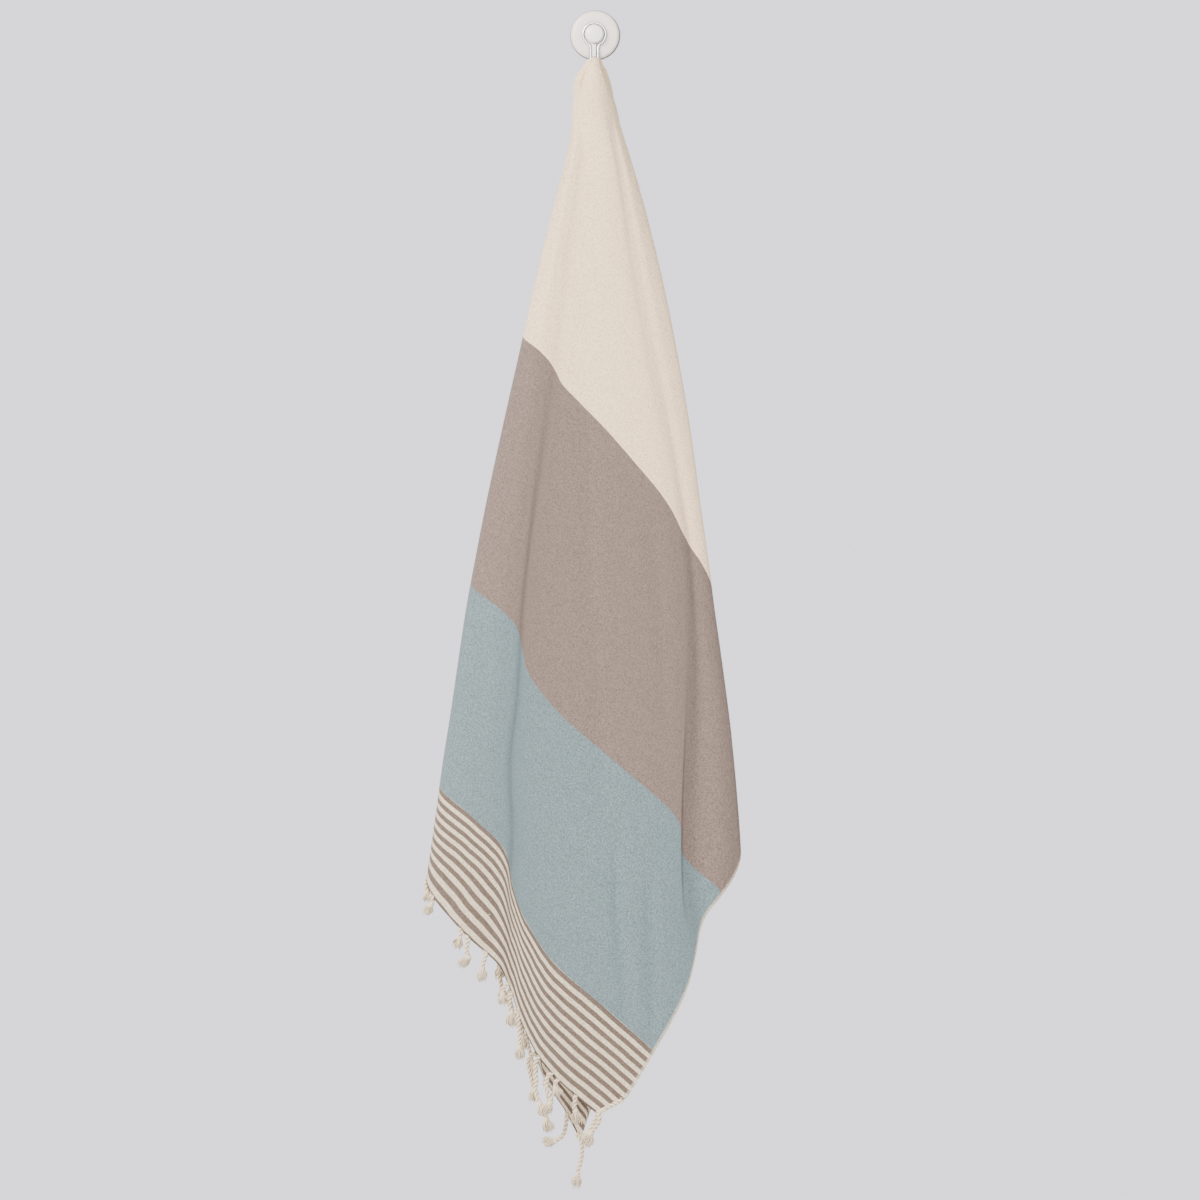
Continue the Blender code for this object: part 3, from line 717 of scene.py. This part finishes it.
seenFront = (  # tassels that show: metres along the hem, then the way down from the root, mm
    (0.0437, ((-1.3, -5), (-2.1, -12), (-0.5, -19), (0.5, -29))),
    (0.068, ((-2, -2), (-3.5, -5), (-3, -9), (0, -17))),
    (0.0776, ((-4, -3), (-6.2, -10), (-5.8, -18), (-1, -29), (-7, -44))),
    (0.1024, ((-4, -7), (-4.5, -17), (-3.5, -27), (-4.5, -37), (0, -51), (5, -64))),
    (0.1757, ((0, -6), (0.5, -14), (1.5, -28), (1.5, -36), (2, -52))),
    (0.2049, ((-3, -4), (-3.5, -13), (-1.5, -22), (-2, -34))),
    (0.2222, ((-3, -2), (-6, -7), (-6.5, -12), (-5, -23))),
    (0.2743, ((1, -4), (-2, -14), (-3, -20), (-3, -32))),
    (0.2988, ((1, -2), (0, -8), (-1, -19), (1.5, -24), (-7, -33))),
    (0.3111, ((1, -2), (0, -8), (-4, -20))),
    (0.3703, ((0.5, -3), (0.5, -9), (-6, -21))),
    (0.396, ((-0.5, -4), (0, -10), (0.5, -21))),
)
seenRear = (
    (0.010, ((2.5, -10), (3.4, -21), (1.5, -33), (-1.5, -43), (-3.4, -58))),
    (0.040, ((-1.5, -6), (-2.5, -14), (-5, -23), (-11, -29), (-26, -33))),
    (0.090, ((1, -10), (3, -24), (-1, -35), (0, -41), (3, -54))),
)
cornerTassels = (  # mm: each cord's step aside at the corner's fold, then its way down
    (0.0, ((-1.5, -4), (-4.5, -11), (-8, -18), (-11.5, -24), (-14.5, -34))),
    (2.8, ((2.5, -5), (1.0, -10.5), (-3, -16.5), (-8, -24), (-11, -34))),
)


def gather(parts, points, faces, alongs, outs):
    parts["faces"] += [tuple(parts["count"] + i for i in face) for face in faces]
    parts["points"].append(np.asarray(points))
    parts["uv"].append(np.stack([outs, alongs], 1))
    parts["count"] += len(points)


def lengthsAlong(route):
    return np.concatenate([[0], np.cumsum(np.linalg.norm(np.diff(route, axis=0), axis=1))])


def framesAlong(route, towards):  # its directions and two sides, turning as little as they can
    along = unit(np.gradient(route, axis=0))
    sides = [np.cross(along[0], towards)]
    for direction in along:
        side = unit(sides[-1])
        sides.append(unit(side - direction * (side @ direction)))
    sides = np.array(sides[1:])
    return along, sides, np.cross(along, sides)


def tube(parts, route, radii, sides, core=None):  # closed, and it may wind round a core
    count = len(route)
    angles = 2 * np.pi * np.arange(sides) / sides
    _, first, second = framesAlong(route, (0.3, 0.9, 0.2))
    rings = [route[i] + circled(angles, first[i], second[i]) * radii[i] for i in range(count)]
    faces = []
    for i in range(count - 1):
        for k in range(sides):
            m = (k + 1) % sides
            faces.append((i * sides + k, i * sides + m, (i + 1) * sides + m, (i + 1) * sides + k))
    faces += [tuple(reversed(range(sides))), tuple((count - 1) * sides + k for k in range(sides))]
    outs = np.ones(count * sides)
    if core is not None:  # 0 in the groove between the plies, 1 at their crests
        away = np.linalg.norm(np.array(rings) - core[:, None], axis=2).ravel()
        outs = away / (fringe["plyApart"] + fringe["plyRadius"])
    gather(parts, np.concatenate(rings), faces, np.repeat(lengthsAlong(route), sides), outs)


def smoothRoute(points, count):  # a Catmull-Rom curve through the points
    points = np.asarray(points, float)
    padded = np.vstack([2 * points[0] - points[1], points, 2 * points[-1] - points[-2]])
    made = []
    for s in np.linspace(0, len(points) - 1 - 1e-9, count):
        i = int(s)
        t = s - i
        a, b, c, d = padded[i : i + 4]
        bend = 2 * a - 5 * b + 4 * c - d
        made.append(0.5 * (2 * b + (c - a) * t + bend * t**2 + (3 * b - 3 * c + d - a) * t**3))
    return np.array(made)


def tasselRoute(root, out, toWall, length, aside):
    waves = fringe["swayWaves"]
    sway = aside + fringe["sway"] * math.sin(waves[0] * root[0] + waves[1] * root[2])
    lean = np.array([sway, toWall, 0.0])
    shares = np.linspace(0, 1, 11)
    route = [np.array(root)]
    for before, after in zip(shares, shares[1:]):
        bent = eased(min((before + after) / 2 * length / fringe["bend"], 1))
        heading = out * (1 - bent) + np.array([0, 0, -1]) * bent + lean * math.sin(3 * after)
        route.append(route[-1] + unit(heading) * (after - before) * length)
    return np.array(route)


def placedRoute(root, out, way, toWall):
    steps = [root, root + out * 0.0025]
    steps += [root + np.array([x / 1000, -z / 1000 * toWall, z / 1000]) for x, z in way]
    return np.array(steps)


def startPhase(route):  # a different start for each tassel, from its place
    return 6 * math.sin(900 * (route[0][0] + route[0][2]))


def twistedTassel(parts, route):
    fine = smoothRoute(route, 240)
    fine[:, 1] = np.minimum(fine[:, 1], -fringe["fromWall"])
    lengths = lengthsAlong(fine)
    total = lengths[-1]
    even = np.linspace(0, total, max(int(total / fringe["step"]), 16))
    fine = np.stack([np.interp(even, lengths, fine[:, k]) for k in range(3)], 1)
    along, side, other = framesAlong(fine, (0.2, 1, 0.1))
    tail = min(fringe["tail"], 0.4 * total)
    at = int(np.searchsorted(even, total - tail))
    turn = 2 * np.pi * even / fringe["twist"]
    loose = fringe["plyApart"] * (1 + 0.06 * np.sin(900 * even + startPhase(fine)))
    for ply in (0, math.pi):
        line = fine + circled(turn + ply, side, other) * loose[:, None]
        tube(parts, line[: at + 1], np.full(at + 1, fringe["plyRadius"]), 8, fine[: at + 1])
    centre = fine[at]
    tall, away, thick = fringe["knot"]
    turns, climb = np.linspace(0, 2 * np.pi * 1.7, 22), np.linspace(-tall, tall, 22)
    wound = centre + along[at] * climb[:, None] + away * circled(turns, side[at], other[at])
    tube(parts, wound, np.full(len(turns), thick), 6)
    ending = unit(fine[-1] - centre)
    steps = np.linspace(0, 1, 5)[:, None]
    for _ in range(fringe["fibres"]):
        angle, spread = rand.uniform(0, 2 * np.pi), math.sqrt(rand.uniform(0.02, 1))
        lean = (math.cos(angle) * side[at] + math.sin(angle) * other[at]) * spread
        reach = tail * rand.uniform(0.7, 1.08)
        curl = rand.normal(size=3) * fringe["curl"]
        belly = fringe["belly"][0] + fringe["belly"][1] * np.sin(steps * 2.5)
        line = centre + lean * belly + ending * reach * steps + curl * steps**2
        tube(parts, line, np.linspace(*fringe["fibreThick"], 5), 3)


def hemPoint(column, layer, beyond):
    edge = edgeOf(column, hungAcross, beyond)
    if layer:
        edge = edge * flapRise(column)
    return layerPlace(column, edge, layer)


def hemFrame(column, layer):  # a point on the hem and the way out of the cloth there
    c = np.array([float(column)])
    before, after = np.maximum(c - 0.5, 0), np.minimum(c + 0.5, lastFold)
    along = (hemPoint(after, layer, 0.0) - hemPoint(before, layer, 0.0))[0]
    at, beyond = (hemPoint(c, layer, reach)[0] for reach in (0.0, 0.004))
    out = beyond - at
    out = out - along * (out @ along) / (along @ along)
    return at, unit(out)


def hemPlace(column, layer):  # along the flat hem from the front selvedge
    c = np.array([float(column)])
    bearing = bearingAt(turnOf(c, edgeOf(c, hungAcross, 0.0)))[0]
    up = hungUp if bearing > 0 else hungDown
    return hungAcross + (1 if layer == 1 else -1) * up / math.tan(abs(bearing))


def makeTassels(name, ends, last, seen, flapLean, cornerCords=()):
    parts = {"points": [], "uv": [], "faces": [], "count": 0}
    columnSet = np.linspace(*ends, 65)
    spacing = towel["width"] / fringe["count"]
    layers = [[(hemPlace(column, layer), column) for column in columnSet] for layer in (0, 1)]
    hidden = [(k + fringe["first"]) * spacing for k in range(last)]
    hidden = [place for place in hidden if place > max(place for place, _ in seen) + spacing / 2]
    for place, way in list(seen) + [(place, None) for place in hidden]:
        layer = int(place > hungAcross)
        along, columnAt = np.array(sorted(layers[layer])).T
        if place < along[0] or place > along[-1]:
            continue
        column = float(np.interp(place, along, columnAt))
        at, out = hemFrame(column, layer)
        root = at - out * fringe["root"]
        toWall = fringe["wallLean"] if column > foldAt["fifth left"] else 0
        if way:
            route = placedRoute(root, out, way, fringe["seenLean"])
        else:
            toWall += (flapLean + fringe["layerLean"]) * layer
            length = float(np.interp(-root[2], fringe["depths"], fringe["lengths"]))
            route = tasselRoute(root, out, toWall, length, fringe["behind"])
        twistedTassel(parts, route)
    front, beyond = fringe["cornerOff"]
    start, end = (p + cornerFacing * front + cornerOut * beyond for p in (cornerSide, cornerHem))
    for aside, way in cornerCords:
        first = end + (start - end) * aside / fringe["cornerSpan"]
        above = [start, start * 0.5 + end * 0.5, end]
        steps = [first + (start - first) * 0.2, first] if aside else above
        steps += [end + np.array([x / 1000, -aside / 2000, z / 1000]) for x, z in way]
        twistedTassel(parts, np.array(steps))
    points = np.concatenate(parts["points"])
    points[:, 1] = np.minimum(points[:, 1], -0.0002)
    print(name, len(parts["faces"]), "faces")
    return meshObject(name, points, parts["faces"], "cord", np.concatenate(parts["uv"]))


frontEnds = foldAt["front corner"], 0
rearEnds = foldAt["rear corner"], lastFold
frontTassels = makeTassels("frontTassels", frontEnds, fringe["count"], seenFront, 0, cornerTassels)
rearTassels = makeTassels("rearTassels", rearEnds, fringe["rearCount"], seenRear, fringe["flapLean"])

cords = {
    "pale": srgb(252, 240, 216),
    "deep": srgb(214, 195, 166),
    "grooveShade": srgb(138, 110, 82),
}


def cordMaterial():
    looks = {"Roughness": 0.9, "Sheen Weight": 0.25, "Specular IOR Level": 0.2}
    material, tree, shader = newMaterial("fringeCotton", **looks)
    uv = addNode(tree, "ShaderNodeUVMap", uv_map="cord").outputs[0]
    fine = noise(tree, stretched(tree, uv, (3, 700, 1)), 1.0, 2.0)
    place = ownPlace(tree)
    broad = maths(tree, "MULTIPLY", noise(tree, place, 60.0, 1.0), 0.5)
    colour = mixed(tree, maths(tree, "MULTIPLY_ADD", fine, 0.5, broad), cords["deep"], cords["pale"])
    crest = addNode(tree, "ShaderNodeSeparateXYZ", ((0, uv),)).outputs[0]
    # painted shade: the cord's colour darkens towards the hollow between the plies
    colour = mixed(tree, past(tree, crest, 0.45, 0.42), cords["grooveShade"], colour)
    tree.links.new(colour, shader.inputs["Base Color"])
    bumped(tree, shader, fine, 0.4)
    return material


cord = cordMaterial()
dress(frontTassels, cord, "fringe_front")
dress(rearTassels, cord, "fringe_rear")


# The hook.

hook = {
    "x": -0.0009,
    "gap": 0.0003,
    "disc": 0.0268,
    "discThick": 0.0065,
    "discMiddle": (0.011, 0.004),
    "pad": 0.0276,
    "padAside": 0.00035,  # the sucker sits a little to the right and low, so its dark rim shows below and right of the disc as painted shadow
    "padThick": 0.0014,
    "padRound": 0.0005,
    "knob": 0.0102,
    "knobRise": 0.0011,
    "knobRound": 0.0022,
    "sides": 96,
    "knobSides": 64,
}
discProfile = (  # each ring's radius less the disc's, and its reach
    (-0.0012, 0.0014), (-0.0003, 0.0018), (0, 0.0026), (-0.0002, 0.0036), (-0.0008, 0.0046),
    (-0.0018, 0.0053), (-0.0034, 0.0059), (-0.0060, 0.0063), (-0.0100, 0.0065),
)
knobProfile = ((-0.0004, 0), (0, 0.0004), (0, 0.0075))
knobCrown = ((0.0065, 0.0103), (0.0045, 0.01065), (0.0025, 0.0109), (0.0008, 0.0110))


def ringStack(name, x, z, rings, sides):  # built up from the wall: each ring's radius and reach
    freeHands()
    bpy.ops.mesh.primitive_circle_add(
        vertices=sides, radius=rings[0][0], fill_type="NGON",
        location=(x, -rings[0][1], z), rotation=(math.pi / 2, 0, 0),
    )
    piece = bpy.context.object
    piece.name = name
    editAll()
    for (radius, reach), (nextRadius, nextReach) in zip(rings, rings[1:]):
        move = {"value": (0, reach - nextReach, 0), "orient_type": "GLOBAL"}
        bpy.ops.mesh.extrude_region_move(TRANSFORM_OT_translate=move)
        grow = nextRadius / radius
        centre = (x, -nextReach, z)
        bpy.ops.transform.resize(value=(grow, 1, grow), orient_type="GLOBAL", center_override=centre)
    bpy.ops.mesh.select_all(action="SELECT")
    endEdit()
    placeInMesh(piece)
    piece.data.name = name
    bpy.ops.object.shade_smooth_by_angle(angle=math.radians(35))
    return piece


def quarter(radius, reach, size, steps=6):  # a rounded front edge, from the side round to the face
    angles = [math.pi / 2 * i / steps for i in range(steps + 1)]
    return [(radius - size + size * math.cos(a), reach - size + size * math.sin(a)) for a in angles]


padRings = [(hook["pad"] - 0.0006, 0.0)]
padRings += quarter(hook["pad"], hook["padThick"], hook["padRound"])
padRings += [(hook["disc"] - 0.002, hook["padThick"])]
hookPad = ringStack("hookPad", hook["padAside"], -hook["padAside"], padRings, hook["sides"])
discRings = [(hook["disc"] + aside, reach) for aside, reach in discProfile]
discRings += [(radius, hook["discThick"]) for radius in hook["discMiddle"]]
hookDisc = ringStack("hookDisc", 0, 0, discRings, hook["sides"])
face = hook["discThick"] + hook["gap"]
knobRings = [(hook["knob"] + aside, face + reach) for aside, reach in knobProfile]
knobRings += quarter(hook["knob"], face + 0.0098, hook["knobRound"], 7)[1:]
knobRings += [(radius, face + reach) for radius, reach in knobCrown]
hookKnob = ringStack("hookKnob", hook["x"], hook["knobRise"], knobRings, hook["knobSides"])

wire = {
    "radius": 0.00115,
    "loop": 0.0124,
    "rise": 0.0008,
    "apart": 0.0080,
    "depth": -0.0088,
    "foot": 0.0054,
    "stems": (-0.0140, -0.0200, -0.0300),
    "bendLow": -0.0370,
    "cloth": 0.0011,  # what hangs on the tip
    "steps": (24, 16, 56),  # round the bend, the tip and the loop
}


def arcPoints(centre, radius, start, end, steps, first, second):
    centre, first, second = Vector(centre), Vector(first), Vector(second)
    angles = [math.radians(start + (end - start) * i / steps) for i in range(steps + 1)]
    return [centre + (first * math.cos(a) + second * math.sin(a)) * radius for a in angles]


def makeWire():
    half, tip = wire["apart"] / 2, Vector(towel["tip"])
    bend = (wire["depth"] - tip.y) / 2
    bendSteps, tipSteps, loopSteps = wire["steps"]
    top = tip.z - wire["cloth"] - towel["flapGap"] - hook["gap"] - wire["radius"]
    right = [Vector((hook["x"] + half, wire["depth"], z)) for z in wire["stems"]]
    low = (hook["x"] + half, tip.y + bend, wire["bendLow"])
    right += arcPoints(low, bend, 180, 0, bendSteps, (0, -1, 0), (0, 0, -1))
    left = [Vector((2 * hook["x"] - p.x, p.y, p.z)) for p in reversed(right)]
    tipMiddle = (hook["x"], tip.y, top - half)
    across = arcPoints(tipMiddle, half, 0, 180, tipSteps, (1, 0, 0), (0, 0, 1))
    foot = math.degrees(math.asin(wire["foot"] / wire["loop"]))
    centre = (hook["x"], wire["depth"], wire["rise"])
    loop = arcPoints(centre, wire["loop"], 270 - foot, foot - 90, loopSteps, (1, 0, 0), (0, 0, 1))
    curve = bpy.data.curves.new("hookWire", "CURVE")
    curve.dimensions = "3D"
    spline = curve.splines.new("POLY")
    points = loop + right + across + left
    spline.points.add(len(points) - 1)
    for point, place in zip(spline.points, points):
        point.co = (*place, 1)
    spline.use_cyclic_u = True
    curve.bevel_depth = wire["radius"]
    curve.bevel_resolution = 6
    takeUp(addObject("hookWire", curve))
    bpy.ops.object.convert(target="MESH")
    made = bpy.context.object
    made.name = "hookWire"
    bpy.ops.object.shade_smooth()
    return made


hookWire = makeWire()

lever = {"size": (0.0046, 0.0034, 0.0146), "top": -0.0096, "round": 0.0009}


def makeLever():
    freeHands()
    wide, thick, tall = lever["size"]
    centre = (hook["x"], -face - thick / 2, lever["top"] - tall / 2)
    bpy.ops.mesh.primitive_cube_add(size=1, location=centre, scale=(wide, thick, tall))
    piece = bpy.context.object
    piece.name = "hookLever"
    placeInMesh(piece)
    editAll()
    bpy.ops.mesh.bevel(offset=lever["round"], segments=4, affect="EDGES")
    bpy.ops.object.mode_set(mode="OBJECT")
    bpy.ops.object.shade_smooth_by_angle(angle=math.radians(40))
    return piece


hookLever = makeLever()


finish = {
    "white": srgb(246, 241, 236),
    # painted highlight: the knob and lever's plastic is whiter than the disc's, for the brighter light
    # the knob catches
    "capWhitePaintedHighlight": srgb(253, 251, 248),
    # the sucker's rubber, made dark so that its rim stands for the shadow gap under the disc: partly
    # its own colour, partly painted shadow
    "shadowGapRubber": srgb(70, 66, 64),
    "chrome": srgb(204, 206, 208),
    "chromeDarkReflection": srgb(26, 28, 30),  # painted reflection: the dark room mirrored in the wire's sides
}


def plasticMaterial(name, colour, roughness, coat=0.0):
    looks = {"IOR": 1.46, "Coat Weight": coat, "Coat Roughness": 0.2}
    material, tree, shader = newMaterial(name, **looks)
    place = ownPlace(tree)
    cloud = noise(tree, place, 120.0, 3.0)
    shade, dull = 0.05, 0.12
    tinted = scaled(tree, colour[:3], maths(tree, "MULTIPLY_ADD", cloud, shade, 1 - shade / 2))
    tree.links.new(tinted, shader.inputs["Base Color"])
    rough = maths(tree, "MULTIPLY_ADD", cloud, dull, roughness - dull / 2)
    tree.links.new(rough, shader.inputs["Roughness"])
    bumped(tree, shader, noise(tree, place, 400.0, 1.0), 0.08)
    return material


def chromeMaterial():
    material, tree, shader = newMaterial("hookChrome", **{"Metallic": 1.0})
    # painted reflection: Layer Weight turns the chrome's colour dark at glancing angles, for a dark
    # room mirrored in the wire's sides
    facing = addNode(tree, "ShaderNodeLayerWeight", (("Blend", 0.5),)).outputs["Facing"]
    side = past(tree, facing, 0.06, 0.14)
    colour = mixed(tree, side, finish["chrome"], finish["chromeDarkReflection"])
    tree.links.new(colour, shader.inputs["Base Color"])
    place = ownPlace(tree)
    rough = maths(tree, "MULTIPLY_ADD", noise(tree, place, 300.0, 3.0), 0.10, 0.05)
    tree.links.new(rough, shader.inputs["Roughness"])
    return material


plastic = plasticMaterial("hookPlastic", finish["white"], 0.28)
# the knob's whiter plastic is a painted highlight
knobPlastic = plasticMaterial("knobPlastic", finish["capWhitePaintedHighlight"], 0.24, 0.9)
shadowGapRubber = plasticMaterial("hookRubberShadowGap", finish["shadowGapRubber"], 0.45)
dress(hookDisc, plastic, "hook_disc")
dress(hookPad, shadowGapRubber)
dress(hookKnob, knobPlastic, "hook_knob")
dress(hookWire, chromeMaterial(), "hook_wire")
dress(hookLever, knobPlastic, "hook_lever")
print("hook ready")


# Stage, lights and camera.

studio = {
    "floorAt": -1.46,
    "floorSize": 4.0,
    "floor": srgb(222, 221, 224),
    "centre": (0.0055, -0.6226),
    "across": 1.32,  # metres that the picture shows
    "distance": 14.0,
    "sensor": 36,
    "towelAt": -0.03,
    "aim": (0, -0.03, -0.62),
    "key": ((-2.2, -3.3, 1.3), 2.2, 314, (1.0, 0.92, 0.82)),  # place, size, watts and colour
    "back": ((0.9, 2.6, 0.4), 2.0, 60, (1.0, 0.97, 0.94)),
    "backdrop": (0.905, 0.885, 0.985),
    "backdropLight": 1.95,
    "ambient": 1.0,
    "ambientTurn": 0.60,  # how much more comes from the side of the key light
    "keySide": (-0.46, -0.72, 0.52),
    "frontGlow": 8.0,  # what shining pieces mirror from the front
    "frontEdge": (4.0, -1.6),
    "sideGlow": 0.12,
}


def addLight(name):
    place, size, watts, colour = studio[name]
    data = bpy.data.lights.new(name, "AREA")
    data.shape = "DISK"
    data.size = size
    data.energy = watts
    data.color = colour
    lamp = addObject(name, data)
    lamp.location = place
    lamp.rotation_euler = (Vector(studio["aim"]) - Vector(place)).to_track_quat("-Z", "Y").to_euler()


freeHands()
bpy.ops.mesh.primitive_plane_add(size=studio["floorSize"], location=(0, 0, studio["floorAt"]))
floor = bpy.context.object
floor.name = "floor"
floorPaint, _, floorShader = newMaterial("floorPaint", **{"Roughness": 0.8})
floorShader.inputs["Base Color"].default_value = studio["floor"]
floor.data.materials.append(floorPaint)
for name in ("key", "back"):
    addLight(name)


def lightWorld():  # plain pale behind, and a soft light that is stronger from the key's side
    world = bpy.data.worlds.new("studio")
    bpy.context.scene.world = world
    world.use_nodes = True
    tree = world.node_tree
    seen = tree.nodes["Background"]
    seen.inputs["Color"].default_value = (*studio["backdrop"], 1)
    seen.inputs["Strength"].default_value = studio["backdropLight"]
    way = addNode(tree, "ShaderNodeTexCoord").outputs["Generated"]
    path = addNode(tree, "ShaderNodeLightPath").outputs

    def towards(side):
        links = ((0, way), (1, side))
        return addNode(tree, "ShaderNodeVectorMath", links, operation="DOT_PRODUCT").outputs["Value"]

    def glowing(colour, strength):
        links = (("Color", colour), ("Strength", strength))
        return addNode(tree, "ShaderNodeBackground", links).outputs[0]

    def chosen(ray, others, its):
        return addNode(tree, "ShaderNodeMixShader", ((0, path[ray]), (1, others), (2, its))).outputs[0]

    keyed = towards(studio["keySide"])
    ambient = maths(tree, "MULTIPLY_ADD", keyed, studio["ambientTurn"], studio["ambient"])
    soft = glowing((1.0, 0.95, 0.90, 1), ambient)
    panel = maths(tree, "MULTIPLY_ADD", towards((0, -1, 0)), *studio["frontEdge"], clamp=True)
    glow = maths(tree, "MULTIPLY_ADD", panel, studio["frontGlow"], studio["sideGlow"])
    mirrored = glowing((1.0, 0.99, 0.98, 1), glow)
    lit = chosen("Is Glossy Ray", soft, mirrored)
    surface = chosen("Is Camera Ray", lit, seen.outputs[0])
    tree.links.new(surface, tree.nodes["World Output"].inputs["Surface"])


lightWorld()

cameraData = bpy.data.cameras.new("camera")
camera = addObject("camera", cameraData)
camera.location = (studio["centre"][0], studio["towelAt"] - studio["distance"], studio["centre"][1])
camera.rotation_euler = (math.pi / 2, 0, 0)
cameraData.sensor_width = studio["sensor"]
cameraData.lens = studio["sensor"] * studio["distance"] / studio["across"]
bpy.context.scene.camera = camera
print("stage ready")
